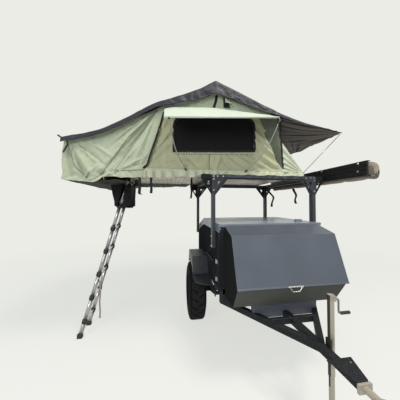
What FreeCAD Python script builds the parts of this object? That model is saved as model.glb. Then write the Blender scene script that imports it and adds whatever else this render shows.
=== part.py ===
import FreeCAD, Part
import math
import os

# Off-road camping trailer with an opened roof-top tent, in millimetres.
# While it is modelled, X = 0 is the axle, Y = 0 the centre line and Z = 0 the ground.
# +X points to the coupling, +Y to the trailer's left side. The export moves the origin
# to the middle of the overall outline.

V = FreeCAD.Vector

# Driving dimensions: wheels and axle
TYRE_R = 395.0
TYRE_W = 230.0
TYRE_GAP = 20.0
TYRE_BULGE = 85.0
SHOULDER = ((14.0, 42.0), (26.0, 12.0), 52.0)
LUG_DEPTH = 11.0
LUG_GROOVE = 15.0
LUG_COUNT = 22
LUG_SKEW = 32.0
RIM_R = 203.0
RIM_SHEET = 9.0
RIM_W = 178.0
HUB_R = 62.0
HUB_SET = 18.0
HUB_REACH = 78.0
DRUM_R = 140.0
DRUM_W = 62.0
SPINDLE_R = 20.0
SPINDLE_GAP = 0.05
VENT_COUNT = 8
VENT_R = 17.0
AXLE_TUBE = 60.0
FIT = 0.3

# Driving dimensions: chassis and drawbar, with heights over the axle or the floor
FLOOR_OVER_AXLE = 345.0
RAIL_INSET = 68.0
RAIL_W = 50.0
RAIL_H = 70.0
RAIL_WALL = 4.0
CROSS_COUNT = 4
CROSS_H = 45.0
CROSS_T = 40.0
DRAW_CROSS_X = (900.0, 1165.0, 1310.0)
DRAW_LAP = 150.0
DRAW_DROP = 75.0
FRAME_BACK = 311.0
PACKER_L = 70.0
NOSE_PLATE_T = 8.0
NOSE_PLATE_L = 190.0
NOSE_PLATE_HALF = (92.0, 34.0)
CHAIN_BACK = 150.0
CHAIN_Y = 55.0
CHAIN_R = 9.0
DRAW_H = 55.0
DRAW_W = 50.0
DRAW_SLOPE = 31.0
APEX_X = 2090.0
CENTRE_RAIL_W = 50.0
TOE_BEAM_BACK = 64.0
TOE_BEAM_HALF = 336.0
CROSS_BEAM = 50.0
EYE_R = 20.0
EYE_RING = 42.0
EYE_T = 30.0
EYE_REACH = 135.0

# Driving dimensions: springs
SPRING_W = 60.0
LEAF_T = 8.0
LEAF_COUNT = 5
SPRING_FRONT_X = 600.0
SPRING_REAR_X = -545.0
SPRING_EYE_DROP = 110.0
SPRING_EYE_R = 21.0
SPRING_BOLT_R = 8.0
HANGER_T = 8.0
HANGER_HALF = 46.0

# Driving dimensions: jack
JACK_BACK = 330.0
JACK_R = 24.0
JACK_CAP_R = 26.5
JACK_WALL = 3.5
JACK_TOP_UP = 222.0
JACK_TUBE_L = 582.0
JACK_CLAMP = (-20.0, 36.0)
JACK_LEG_LAP = 180.0
JACK_TRAVEL = 300.0
FOOT_SIDE = 150.0
FOOT_T = 8.0
FOOT_CORNER = 18.0
GEAR_W = 34.0
GEAR_H = 38.0
CRANK_DROP = 32.0
CRANK_OUT = 30.0
CRANK_BEND = 16.0
CRANK_ARM = 107.0
CRANK_GRIP = 90.0
CRANK_ROD_R = 7.0

# Driving dimensions: tub
PIN_R = 5.0
TUB_FRONT_X = 940.0
TUB_REAR_X = -680.0
TUB_HALF = 613.0
TUB_SHEET = 16.0
WALL_H = 580.0
LID_H = 100.0
SLOPE_X = -140.0
SLOPE_DROP = 143.0
LID_SHEET = 14.0
LID_INSET = 9.0
LID_GAP = 6.0
LID_HINGE_DROP = 30.0
SILL_H = 46.0
GATE_JAMB = 93.0
TAILGATE_T = 24.0
GATE_FRAME = 60.0
GATE_PIN_R = 6.0
GATE_HINGE_HALF = 40.0
GATE_HINGE_Y = (-330.0, 0.0, 330.0)
GATE_BAR_HALF = 125.0
GATE_BAR_DROP = 96.0
GATE_BAR_STAND = 26.0
FITTING_X = 740.0
FITTING_Y = 440.0
MOVE_GAP = 6.0

# Driving dimensions: side doors
DOOR_FRONT_X = 865.0
DOOR_SILL = 60.0
DOOR_H = 325.0
DOOR_T = 24.0
DOOR_FRAME = 45.0
PANEL_T = 4.0
HINGE_UP = (26.0, 213.0)
HINGE_R = 8.0
HINGE_H = 44.0
HINGE_LEAF_L = 44.0
HINGE_LEAF_T = 6.0
GRIP_DROP = 119.0
GRIP_INSET = (70.0, 30.0)
GRIP_FOOT = 40.0
GRIP_ROD_R = 9.0
GRIP_STAND = 32.0

# Driving dimensions: nose box, from the tub's front, the lid's top and the floor
NOSE_INSET = 65.5
NOSE_SHEET = 8.0
NOSE_TOP_RUN = 23.0
NOSE_TOP_DROP = 23.0
CREASE_RUN = 280.0
CREASE_DROP = 90.0
BROW_RUN = 452.0
BROW_UP = 162.0
TOE_RUN = 284.0
NOSE_LID_T = 8.0
NOSE_LID_OVER = 5.0
LEDGE_DROP = 14.0
LIP_H = 14.0
LIP_OUT = 10.0
HANDLE_TOP = 125.0
HANDLE_LOW = 65.0
HANDLE_H = 42.0
HANDLE_ROD_R = 5.5
HANDLE_BEND = 9.0

# Driving dimensions: fenders
FENDER_W = 208.0
FENDER_CLEAR = 138.0
FENDER_SIDE_CLEAR = 50.0
FENDER_LEAN = 115.0
FENDER_FOOT_UP = 329.0
FENDER_T = 4.0
STEP_FRONT_X = 590.0
STEP_DROP = 34.0
STEP_TAPER = 90.0
FENDER_ARCH = 35.0
MARKER_RUN = 30.0
MARKER_DROP = 82.0

# Driving dimensions: rack
POST_FRONT_SET = 190.0
POST_REAR_SET = 40.0
POST_LONG = 76.0
POST_WIDE = 38.0
POST_LAP = 180.0
POST_WALL = 4.0
RACK_H = 555.0
BEAM = 50.0
BEAM_OVER = 157.0
GUSSET_T = 6.0
GUSSET_H = 190.0
GUSSET_L = 150.0

# Driving dimensions: awning
AWNING_FRONT_X = 1390.0
AWNING_REAR_X = -690.0
AWNING_DEEP = 22.0
AWNING_UP = 91.0
AWNING_H = 150.0
AWNING_RIB = 8.0
AWNING_RIB_H = 18.0
AWNING_RIBS = 3
BAG_DEEP = 158.0
BAG_SAG = 26.0

# Driving dimensions: tent, with heights over the tent's floor
TENT_FRONT_X = 770.0
TENT_REAR_X = -630.0
BASE_T = 42.0
HINGE_Y = -590.0
BASE_LEFT_Y = 480.0
BASE_RIGHT_Y = -1600.0
CLOTH = 6.0
BOW_R = 12.0
BOW_FOOT = 90.0
EAR_T = 6.0
RIDGE_Y = -617.0
RIDGE_UP = 1010.0
BOW_RIGHT_Y = -1240.0
BOW_RIGHT_UP = 683.0
BOW_LEFT_Y = 155.0
BOW_LEFT_UP = 673.0
ANNEX_TIP_Y = -2170.0
ANNEX_TIP_UP = 273.0
ANNEX_LOW_Y = -2200.0
ANNEX_DROP = 127.0
DOORWAY_X = (-230.0, 400.0)
DOORWAY_TOP = 140.0
HATCH_SIDE = 60.0
HATCH_L = 244.0
WINDOW_Y = (-1070.0, -157.0)
WINDOW_UP = (230.0, 593.0)
WINDOW_R = 90.0
FLY_GAP = 0.5
FLY_T = 5.0
FLY_OVER = 60.0
VALANCE = (45.0, 52.0, 125.0, 50.0)
FLY_EDGE_Y = 1090.0
FLY_EDGE_UP = 513.0
FLAP_REACH = 350.0
FLAP_UP = 483.0
FLAP_RISE = 20.0
FLAP_BAR_R = 6.0
FLAP_Y = (-1180.0, -16.0)
FLAP_FOOT_Y = (-1000.0, -262.0)
ROD_R = 4.0

# Driving dimensions: ladder
LADDER_OUT = 60.0
LADDER_DROP = 45.0
LADDER_RUN = 540.0
LADDER_X = (-30.0, 270.0)
LADDER_RAIL_R = 19.0
LADDER_RUNG_R = 14.0
RUNG_PITCH = 293.0
RUNG_FIRST = 200.0
SKIRT_H = 300.0
SKIRT_T = 5.0

# Driving dimensions: lamps
LAMP_INSET = 13.0
LAMP_W = 60.0
LAMP_UP = 90.0
LAMP_H = 130.0
LAMP_T = 26.0
MARKER_SIDE = 32.0
MARKER_H = 24.0
MARKER_T = 12.0

# Places across the trailer, from the tub's half width
TYRE_Y = TUB_HALF + TYRE_GAP + TYRE_W / 2
HUB_FACE_Y = TYRE_Y - HUB_SET
RAIL_Y = TUB_HALF - RAIL_INSET
SPRING_Y = RAIL_Y
LID_HALF = TUB_HALF - LID_INSET
TAILGATE_HALF = TUB_HALF - GATE_JAMB
NOSE_HALF = TUB_HALF - NOSE_INSET
FENDER_OUT = TUB_HALF + FENDER_W
POST_Y = TUB_HALF + POST_WIDE / 2
BEAM_REACH = TUB_HALF + BEAM_OVER
LAMP_Y = (TUB_HALF - LAMP_INSET - LAMP_W, TUB_HALF - LAMP_INSET)
JACK_Y = CENTRE_RAIL_W / 2 + 8.0 + JACK_R
LEG_R = JACK_R - JACK_WALL - FIT

# Heights, from the axle up
AXLE_Z = TYRE_R
FLOOR_Z = AXLE_Z + FLOOR_OVER_AXLE
RAIL_Z = FLOOR_Z - RAIL_H
DRAW_TOP_Z = RAIL_Z - DRAW_DROP
DRAW_Z = DRAW_TOP_Z - DRAW_H
SPRING_EYE_Z = RAIL_Z - SPRING_EYE_DROP
JACK_TOP_Z = FLOOR_Z + JACK_TOP_UP
JACK_LOW_Z = JACK_TOP_Z - JACK_TUBE_L
WALL_TOP_Z = FLOOR_Z + WALL_H
REAR_WALL_TOP_Z = WALL_TOP_Z - SLOPE_DROP
LID_TOP_Z = WALL_TOP_Z + LID_H
DOOR_LOW_Z = FLOOR_Z + DOOR_SILL
DOOR_TOP_Z = DOOR_LOW_Z + DOOR_H
HINGE_LEVELS = (DOOR_LOW_Z + HINGE_UP[0], DOOR_LOW_Z + HINGE_UP[1])
GRIP_Z = DOOR_TOP_Z - GRIP_DROP
FENDER_TOP_Z = AXLE_Z + TYRE_R + FENDER_CLEAR
FENDER_LOW_Z = AXLE_Z + FENDER_FOOT_UP
STEP_LOW_Z = FENDER_LOW_Z - STEP_DROP
LAMP_Z = (FLOOR_Z + LAMP_UP, FLOOR_Z + LAMP_UP + LAMP_H)
POST_LOW_Z = WALL_TOP_Z - POST_LAP
BEAM_Z = LID_TOP_Z + RACK_H
BEAM_LOW_Z = BEAM_Z - BEAM
AWNING_TOP_Z = BEAM_Z + AWNING_UP
BASE_Z = BEAM_Z
TENT_FLOOR_Z = BASE_Z + BASE_T
WINDOW_Z = (TENT_FLOOR_Z + WINDOW_UP[0], TENT_FLOOR_Z + WINDOW_UP[1])
FLAP_Z = TENT_FLOOR_Z + FLAP_UP

# Places along the trailer
JACK_X = APEX_X - JACK_BACK
EYE_X = APEX_X + EYE_REACH
FRAME_TIP_X = APEX_X - FRAME_BACK
NOSE_TOE_X = TUB_FRONT_X + TOE_RUN
TOE_BEAM_X = NOSE_TOE_X - TOE_BEAM_BACK
POST_FRONT_X = TUB_FRONT_X - POST_FRONT_SET
POST_REAR_X = TUB_REAR_X + POST_REAR_SET
FENDER_HALF_LOW = TYRE_R - FENDER_SIDE_CLEAR
FENDER_HALF_TOP = FENDER_HALF_LOW - FENDER_LEAN
MARKER_X = FENDER_HALF_TOP + MARKER_RUN
MARKER_Z = FENDER_TOP_Z - MARKER_DROP
DOOR_REAR_X = FENDER_HALF_LOW
GRIP_FRONT_X = DOOR_FRONT_X - GRIP_INSET[0]
GRIP_REAR_X = DOOR_REAR_X + GRIP_INSET[1]
HATCH_X = (LADDER_X[0] - HATCH_SIDE, LADDER_X[1] + HATCH_SIDE)
HATCH_Y = (BASE_RIGHT_Y - MOVE_GAP - HATCH_L, BASE_RIGHT_Y - MOVE_GAP)

# Points of the nose box in the X-Z plane, and of the tent and ladder in the Y-Z plane
NOSE_TOP = (TUB_FRONT_X + NOSE_TOP_RUN, LID_TOP_Z - NOSE_TOP_DROP)
NOSE_CREASE = (TUB_FRONT_X + CREASE_RUN, LID_TOP_Z - CREASE_DROP)
NOSE_BROW = (TUB_FRONT_X + BROW_RUN, FLOOR_Z + BROW_UP)
LID_HINGE = (TUB_FRONT_X - 6.0, LID_TOP_Z - LID_HINGE_DROP - PIN_R - FIT)
GATE_HINGE = (TUB_REAR_X - GATE_PIN_R - FIT, FLOOR_Z + SILL_H + MOVE_GAP)
DOOR_HINGE_X = DOOR_FRONT_X + MOVE_GAP / 2
DOOR_HINGE_Y = TUB_HALF + HINGE_R + FIT
RIDGE = (RIDGE_Y, TENT_FLOOR_Z + RIDGE_UP)
BOW_RIGHT = (BOW_RIGHT_Y, TENT_FLOOR_Z + BOW_RIGHT_UP)
BOW_LEFT = (BOW_LEFT_Y, TENT_FLOOR_Z + BOW_LEFT_UP)
ANNEX_TIP = (ANNEX_TIP_Y, TENT_FLOOR_Z + ANNEX_TIP_UP)
ANNEX_LOW = (ANNEX_LOW_Y, TENT_FLOOR_Z - ANNEX_DROP)
FLY_EDGE = (FLY_EDGE_Y, TENT_FLOOR_Z + FLY_EDGE_UP)
LADDER_TOP = (BASE_RIGHT_Y - LADDER_OUT, BASE_Z - LADDER_DROP)
LADDER_FOOT_Y = LADDER_TOP[0] - LADDER_RUN


def box(x0, x1, y0, y1, z0, z1):
    """A box between six planes, given in any order."""
    lo = V(min(x0, x1), min(y0, y1), min(z0, z1))
    return Part.makeBox(abs(x1 - x0), abs(y1 - y0), abs(z1 - z0), lo)


def side_prism(points, y0, y1):
    """An outline in the X-Z plane, run from y0 to y1."""
    wire = Part.makePolygon([V(x, y0, z) for x, z in points] + [V(points[0][0], y0, points[0][1])])
    return Part.Face(wire).extrude(V(0, y1 - y0, 0))


def front_prism(points, x0, x1):
    """An outline in the Y-Z plane, run from x0 to x1."""
    wire = Part.makePolygon([V(x0, y, z) for y, z in points] + [V(x0, points[0][0], points[0][1])])
    return Part.Face(wire).extrude(V(x1 - x0, 0, 0))


def plan_prism(points, z0, z1):
    """An outline in the X-Y plane, run from z0 to z1."""
    wire = Part.makePolygon([V(x, y, z0) for x, y in points] + [V(points[0][0], points[0][1], z0)])
    return Part.Face(wire).extrude(V(0, 0, z1 - z0))


def rod(start, end, radius):
    """A round rod between two points."""
    way = V(*end) - V(*start)
    return Part.makeCylinder(radius, way.Length, V(*start), way)


def tube(start, end, radius, wall):
    """A round tube between two points."""
    return rod(start, end, radius).cut(rod(start, end, radius - wall))


def bent_rod(points, radius, bend):
    """A round rod along a bent line, with each corner rounded to the bend radius."""
    corners = [V(*point) for point in points]
    path = []
    last = corners[0]
    for before, corner, after in zip(corners, corners[1:], corners[2:]):
        come = (corner - before).normalize()
        leave = (after - corner).normalize()
        half_turn = come.getAngle(leave) / 2
        inward = (leave - come).normalize()
        start = corner - come * (bend * math.tan(half_turn))
        end = corner + leave * (bend * math.tan(half_turn))
        middle = corner + inward * (bend / math.cos(half_turn) - bend)
        path.append(Part.makeLine(last, start))
        path.append(Part.Arc(start, middle, end).toShape())
        last = end
    path.append(Part.makeLine(last, corners[-1]))
    ring = Part.Wire([Part.makeCircle(radius, corners[0], corners[1] - corners[0])])
    return Part.Wire(path).makePipeShell([ring], True, True)


def fused(pieces):
    """One solid from pieces that share faces or overlap."""
    whole = pieces[0]
    if len(pieces) > 1:
        whole = whole.multiFuse(pieces[1:])
    return whole.removeSplitter()


def apart(pieces):
    """One node from like solids that do not touch."""
    return Part.makeCompound(pieces)


def mirrored(shape):
    """The same piece on the other side of the centre line."""
    return shape.mirror(V(0, 0, 0), V(0, 1, 0))


def offset_line(start, end, gap):
    """Two points moved sideways, to the left of the way from start to end."""
    dx, dz = end[0] - start[0], end[1] - start[1]
    size = math.hypot(dx, dz)
    nx, nz = -dz / size * gap, dx / size * gap
    return (start[0] + nx, start[1] + nz), (end[0] + nx, end[1] + nz)


def meet(a, b, c, d):
    """The point where the line a-b meets the line c-d."""
    dx1, dz1 = b[0] - a[0], b[1] - a[1]
    dx2, dz2 = d[0] - c[0], d[1] - c[1]
    t = ((c[0] - a[0]) * dz2 - (c[1] - a[1]) * dx2) / (dx1 * dz2 - dz1 * dx2)
    return (a[0] + t * dx1, a[1] + t * dz1)


def beside(points, gap):
    """An open bent line, moved by gap to the left of its way."""
    sides = [offset_line(points[i], points[i + 1], gap) for i in range(len(points) - 1)]
    line = [sides[0][0]]
    for i in range(len(sides) - 1):
        line.append(meet(sides[i][0], sides[i][1], sides[i + 1][0], sides[i + 1][1]))
    line.append(sides[-1][1])
    return line


def strip(points, gap):
    """The outline of a bent sheet: an open line and its copy at a distance of gap to the left."""
    return list(points) + beside(points, gap)[::-1]


def along(start, end, length):
    """The point at a length from start on the way to end."""
    size = math.hypot(end[0] - start[0], end[1] - start[1])
    return tuple(start[i] + (end[i] - start[i]) * length / size for i in (0, 1))


# Wheels and axle
def tread_grooves(half):
    """Slanted grooves from both shoulders to near the middle, which leave a V-shaped block tread."""
    grooves = []
    for i in range(LUG_COUNT):
        for way in (1, -1):
            groove = box(-LUG_GROOVE / 2, LUG_GROOVE / 2, LUG_GROOVE / 2, half * 1.3,
                         TYRE_R - LUG_DEPTH, TYRE_R + LUG_DEPTH)
            groove.rotate(V(0, 0, 0), V(0, 0, 1), LUG_SKEW)
            if way < 0:
                groove = mirrored(groove)
            groove.rotate(V(0, 0, 0), V(0, 1, 0), 360.0 * (i + (0.25 if way > 0 else 0.75)) / LUG_COUNT)
            grooves.append(groove)
    return Part.makeCompound(grooves)


def tyre(side):
    """A tyre ring with rounded shoulders and a block tread, turned about the axle line."""
    half = TYRE_W / 2
    bead = RIM_W / 2
    low, mid, edge = SHOULDER
    edges = [Part.makeLine(V(0, -bead, RIM_R), V(0, bead, RIM_R)),
             Part.makeLine(V(0, half - edge, TYRE_R), V(0, edge - half, TYRE_R))]
    for way in (1, -1):
        foot = V(0, way * (half - low[0]), TYRE_R - low[1])
        edges.append(Part.Arc(V(0, way * bead, RIM_R), V(0, way * half, RIM_R + TYRE_BULGE), foot).toShape())
        edges.append(Part.Arc(foot, V(0, way * (half - mid[0]), TYRE_R - mid[1]),
                              V(0, way * (half - edge), TYRE_R)).toShape())
    wire = Part.Wire(Part.__sortEdges__(edges))
    ring = Part.Face(wire).revolve(V(0, 0, 0), V(0, 1, 0), 360)
    ring = ring.cut(tread_grooves(half))
    ring.translate(V(0, side * TYRE_Y, AXLE_Z))
    return ring


def wheel(side):
    """Rim, vented disc, hub and brake drum, which turn together on the spindle."""
    bead = RIM_W / 2
    face = HUB_FACE_Y - TYRE_Y
    barrel = rod((0, -bead, 0), (0, bead, 0), RIM_R).cut(rod((0, -bead, 0), (0, bead, 0), RIM_R - RIM_SHEET))
    disc = rod((0, face, 0), (0, face + 10, 0), RIM_R - RIM_SHEET)
    dish = Part.makeCone(RIM_R * 0.62, RIM_R * 0.42, 30, V(0, face + 10, 0), V(0, 1, 0))
    drum = rod((0, face - DRUM_W, 0), (0, face, 0), DRUM_R)
    hub = rod((0, face, 0), (0, face + HUB_REACH, 0), HUB_R * 0.62)
    body = fused([barrel, disc, dish, drum, hub])
    for i in range(VENT_COUNT):
        a = 2 * math.pi * i / VENT_COUNT
        reach = RIM_R * 0.78
        at = (reach * math.cos(a), face - 1, reach * math.sin(a))
        body = body.cut(rod(at, (at[0], face + 12, at[2]), VENT_R))
    bore = rod((0, face - DRUM_W - 1, 0), (0, face + 60, 0), SPINDLE_R + SPINDLE_GAP)
    body = body.cut(bore)
    if side < 0:
        body = mirrored(body)
    body.translate(V(0, side * TYRE_Y, AXLE_Z))
    return body


def axle():
    """A square axle tube with a round spindle at each end."""
    half = AXLE_TUBE / 2
    end_y = HUB_FACE_Y - DRUM_W - MOVE_GAP
    beam = box(-half, half, -end_y, end_y, AXLE_Z - half, AXLE_Z + half)
    spindle = rod((0, -HUB_FACE_Y - 55, AXLE_Z), (0, HUB_FACE_Y + 55, AXLE_Z), SPINDLE_R)
    return fused([beam, spindle])


def leaf_line(front, rear, low):
    """A shallow arc from the front to the rear end through a low middle point."""
    return Part.Arc(V(front[0], 0, front[1]), V(low[0], 0, low[1]), V(rear[0], 0, rear[1])).toShape()


def leaf_spring(side):
    """A stack of leaves of falling length under the main leaf, with an eye at each end."""
    seat_z = AXLE_Z + AXLE_TUBE / 2 + 12.0
    main_z = seat_z + LEAF_COUNT * LEAF_T
    eye_low = SPRING_EYE_Z - SPRING_EYE_R + LEAF_T
    # The main leaf's upper side passes through three points, and each leaf copies its arc.
    front, rear = (SPRING_FRONT_X, eye_low), (SPRING_REAR_X, eye_low)
    middle = (0.0, main_z)
    arc = leaf_line(front, rear, middle)
    centre, radius = arc.Curve.Center, arc.Curve.Radius
    pieces = []
    for i in range(LEAF_COUNT):
        outer = radius + LEAF_T * (i + 1)
        ring = Part.makeCylinder(outer, SPRING_W, V(centre.x, 0, centre.z), V(0, 1, 0))
        ring = ring.cut(Part.makeCylinder(outer - LEAF_T, SPRING_W, V(centre.x, 0, centre.z), V(0, 1, 0)))
        share = 1.0 - i * 0.17
        slab = box(SPRING_REAR_X * share, SPRING_FRONT_X * share, 0, SPRING_W, 0, SPRING_EYE_Z + 60)
        pieces.append(ring.common(slab))
    for x in (SPRING_FRONT_X, SPRING_REAR_X):
        eye = Part.makeCylinder(SPRING_EYE_R, SPRING_W, V(x, 0, SPRING_EYE_Z), V(0, 1, 0))
        pieces.append(eye)
    pieces.append(box(-50, 50, 0, SPRING_W, seat_z - 12.0, seat_z + 4.0))
    stack = fused(pieces)
    for x in (SPRING_FRONT_X, SPRING_REAR_X):
        hole = Part.makeCylinder(SPRING_BOLT_R, SPRING_W, V(x, 0, SPRING_EYE_Z), V(0, 1, 0))
        stack = stack.cut(hole)
    stack.translate(V(0, side * SPRING_Y - SPRING_W / 2, 0))
    return stack


def spring_mounts(side):
    """A front hanger and a rear shackle: two cheeks each, with the bolt through the eye."""
    y_in = SPRING_W / 2 + FIT
    pieces = []
    for x, low in ((SPRING_FRONT_X, 34.0), (SPRING_REAR_X, 30.0)):
        for way in (-1, 1):
            y0 = way * y_in
            y1 = way * (y_in + HANGER_T)
            outline = [(x - HANGER_HALF, RAIL_Z), (x + HANGER_HALF, RAIL_Z),
                       (x + HANGER_HALF / 2, SPRING_EYE_Z - low), (x - HANGER_HALF / 2, SPRING_EYE_Z - low)]
            pieces.append(side_prism(outline, y0, y1))
        bolt_end = y_in + HANGER_T + 9.0
        pieces.append(rod((x, -bolt_end, SPRING_EYE_Z), (x, bolt_end, SPRING_EYE_Z), SPRING_BOLT_R))
        pieces.append(box(x - HANGER_HALF, x + HANGER_HALF, -y_in - HANGER_T, y_in + HANGER_T, RAIL_Z - HANGER_T, RAIL_Z))
    front = fused(pieces[:4])
    rear = fused(pieces[4:])
    both = apart([front, rear])
    both.translate(V(0, side * SPRING_Y, 0))
    return both


# Chassis
def frame_rails():
    """Each side's chassis rail on a packer over its drawbar rail, which runs in to the centre rail."""
    slope = math.radians(DRAW_SLOPE)
    outer = RAIL_Y + RAIL_W / 2
    inner = RAIL_Y - RAIL_W / 2
    bend_x = FRAME_TIP_X - outer / math.tan(slope)
    lap_x = TUB_FRONT_X - DRAW_LAP
    wide = DRAW_W / math.sin(slope)
    step = CENTRE_RAIL_W / 2
    rails = []
    for side in (-1, 1):
        long_rail = box(TUB_REAR_X, TUB_FRONT_X, side * inner, side * outer, RAIL_Z, FLOOR_Z)
        hollow = box(TUB_REAR_X, TUB_FRONT_X, side * (inner + RAIL_WALL), side * (outer - RAIL_WALL),
                     RAIL_Z + RAIL_WALL, FLOOR_Z - RAIL_WALL)
        run = [
            (FRAME_TIP_X - step / math.tan(slope), side * step),
            (bend_x, side * outer),
            (lap_x, side * outer),
            (lap_x, side * inner),
            (FRAME_TIP_X - wide - inner / math.tan(slope), side * inner),
            (FRAME_TIP_X - wide - step / math.tan(slope), side * step),
        ]
        packer = box(lap_x, lap_x + PACKER_L, side * inner, side * outer, DRAW_TOP_Z, RAIL_Z)
        rails.append(fused([long_rail.cut(hollow), packer, plan_prism(run, DRAW_Z, DRAW_TOP_Z)]))
    return apart(rails)


def draw_half_width(x):
    """The drawbar's clear half width at one place along it."""
    slope = math.radians(DRAW_SLOPE)
    wide = DRAW_W / math.sin(slope)
    return min((FRAME_TIP_X - wide - x) * math.tan(slope), RAIL_Y - RAIL_W / 2)


def cross_members():
    """Cross-members under the floor, in the drawbar, and on it under the tub's front and the nose's toe."""
    inner = RAIL_Y - RAIL_W / 2
    step = CENTRE_RAIL_W / 2
    pieces = []
    span = TUB_FRONT_X - TUB_REAR_X - RAIL_W
    for i in range(CROSS_COUNT):
        x = TUB_REAR_X + span * i / (CROSS_COUNT - 1)
        pieces.append(box(x, x + RAIL_W, -inner, inner, FLOOR_Z - CROSS_H, FLOOR_Z))
    for side in (-1, 1):
        for x in DRAW_CROSS_X:
            ends = [
                (x, side * step),
                (x + CROSS_T, side * step),
                (x + CROSS_T, side * draw_half_width(x + CROSS_T)),
                (x, side * draw_half_width(x)),
            ]
            pieces.append(plan_prism(ends, DRAW_Z, DRAW_TOP_Z))
    outer = RAIL_Y + RAIL_W / 2
    pieces.append(box(TUB_FRONT_X - CROSS_BEAM, TUB_FRONT_X, -outer, outer, DRAW_TOP_Z, RAIL_Z))
    pieces.append(box(TOE_BEAM_X, TOE_BEAM_X + CROSS_BEAM, -TOE_BEAM_HALF, TOE_BEAM_HALF, DRAW_TOP_Z, RAIL_Z))
    return apart(pieces)


def drawbar_spine():
    """The centre rail, which runs on past the side rails, with the plate for the chains on its end."""
    step = CENTRE_RAIL_W / 2
    spine = box(TUB_FRONT_X - DRAW_LAP, APEX_X, -step, step, DRAW_Z, DRAW_TOP_Z)
    back, front = NOSE_PLATE_HALF
    top = [(APEX_X - NOSE_PLATE_L, -back), (APEX_X, -front), (APEX_X, front), (APEX_X - NOSE_PLATE_L, back)]
    body = fused([spine, plan_prism(top, DRAW_TOP_Z, DRAW_TOP_Z + NOSE_PLATE_T)])
    for side in (-1, 1):
        x, y = APEX_X - CHAIN_BACK, side * CHAIN_Y
        body = body.cut(rod((x, y, DRAW_TOP_Z - 1.0), (x, y, DRAW_TOP_Z + NOSE_PLATE_T + 1.0), CHAIN_R))
    return body


def coupling():
    """A forged towing eye on a shank bolted into the drawbar's nose."""
    mid_z = DRAW_Z + DRAW_H / 2
    ring = rod((EYE_X, 0, mid_z - EYE_T / 2), (EYE_X, 0, mid_z + EYE_T / 2), EYE_RING)
    shank = rod((APEX_X + 1.0, 0, mid_z), (EYE_X - EYE_R - 8.0, 0, mid_z), 21.0)
    flange = box(APEX_X, APEX_X + 18.0, -44.0, 44.0, DRAW_Z, DRAW_TOP_Z)
    body = fused([ring, shank, flange])
    return body.cut(rod((EYE_X, 0, mid_z - EYE_T), (EYE_X, 0, mid_z + EYE_T), EYE_R))


# Jack
def jack_body():
    """The fixed tube with its cap, gear housing and bracket on the centre rail."""
    outer = tube((JACK_X, JACK_Y, JACK_LOW_Z), (JACK_X, JACK_Y, JACK_TOP_Z), JACK_R, JACK_WALL)
    cap = rod((JACK_X, JACK_Y, JACK_TOP_Z - 9.0), (JACK_X, JACK_Y, JACK_TOP_Z + 3.0), JACK_CAP_R)
    gear = box(JACK_X - GEAR_W / 2, JACK_X + GEAR_W / 2, JACK_Y + JACK_R - 8.0, JACK_Y + JACK_R + 12.0,
               JACK_TOP_Z - 6.0 - GEAR_H, JACK_TOP_Z - 6.0)
    hollow = rod((JACK_X, JACK_Y, JACK_LOW_Z), (JACK_X, JACK_Y, JACK_TOP_Z - 4.0), JACK_R - JACK_WALL)
    side = CENTRE_RAIL_W / 2
    bracket = box(JACK_X + JACK_CLAMP[0], JACK_X + JACK_CLAMP[1], side, JACK_Y - JACK_R + 3.0,
                  DRAW_Z, DRAW_TOP_Z + DRAW_H)
    return fused([outer, cap, gear, bracket]).cut(hollow)


def jack_leg():
    """The inner leg with its foot plate on the ground."""
    leg = rod((JACK_X, JACK_Y, FOOT_T), (JACK_X, JACK_Y, JACK_LOW_Z + JACK_LEG_LAP), LEG_R)
    half = FOOT_SIDE / 2
    foot = box(JACK_X - half, JACK_X + half, JACK_Y - half, JACK_Y + half, 0, FOOT_T)
    foot = foot.makeFillet(FOOT_CORNER, [e for e in foot.Edges if abs(e.tangentAt(e.FirstParameter).z) > 0.9])
    collar = rod((JACK_X, JACK_Y, FOOT_T), (JACK_X, JACK_Y, FOOT_T + 34.0), LEG_R + 7.0)
    return fused([leg, foot, collar])


def jack_crank():
    """The crank: one bent rod out of the gear housing, and a grip with rounded ends on its end."""
    start_y = JACK_Y + JACK_R + 12.0
    arm_y = start_y + CRANK_OUT
    top = JACK_TOP_Z - CRANK_DROP
    low = top - CRANK_ARM
    line = [(JACK_X, start_y, top), (JACK_X, arm_y, top), (JACK_X, arm_y, low), (JACK_X, arm_y + CRANK_GRIP, low)]
    grip_y = arm_y + CRANK_BEND
    grip = rod((JACK_X, grip_y, low), (JACK_X, arm_y + CRANK_GRIP + 4.0, low), CRANK_ROD_R + 5.0)
    ends = [edge for edge in grip.Edges if edge.Curve.TypeId == "Part::GeomCircle"]
    return fused([bent_rod(line, CRANK_ROD_R, CRANK_BEND), grip.makeFillet(4.0, ends)])


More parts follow.
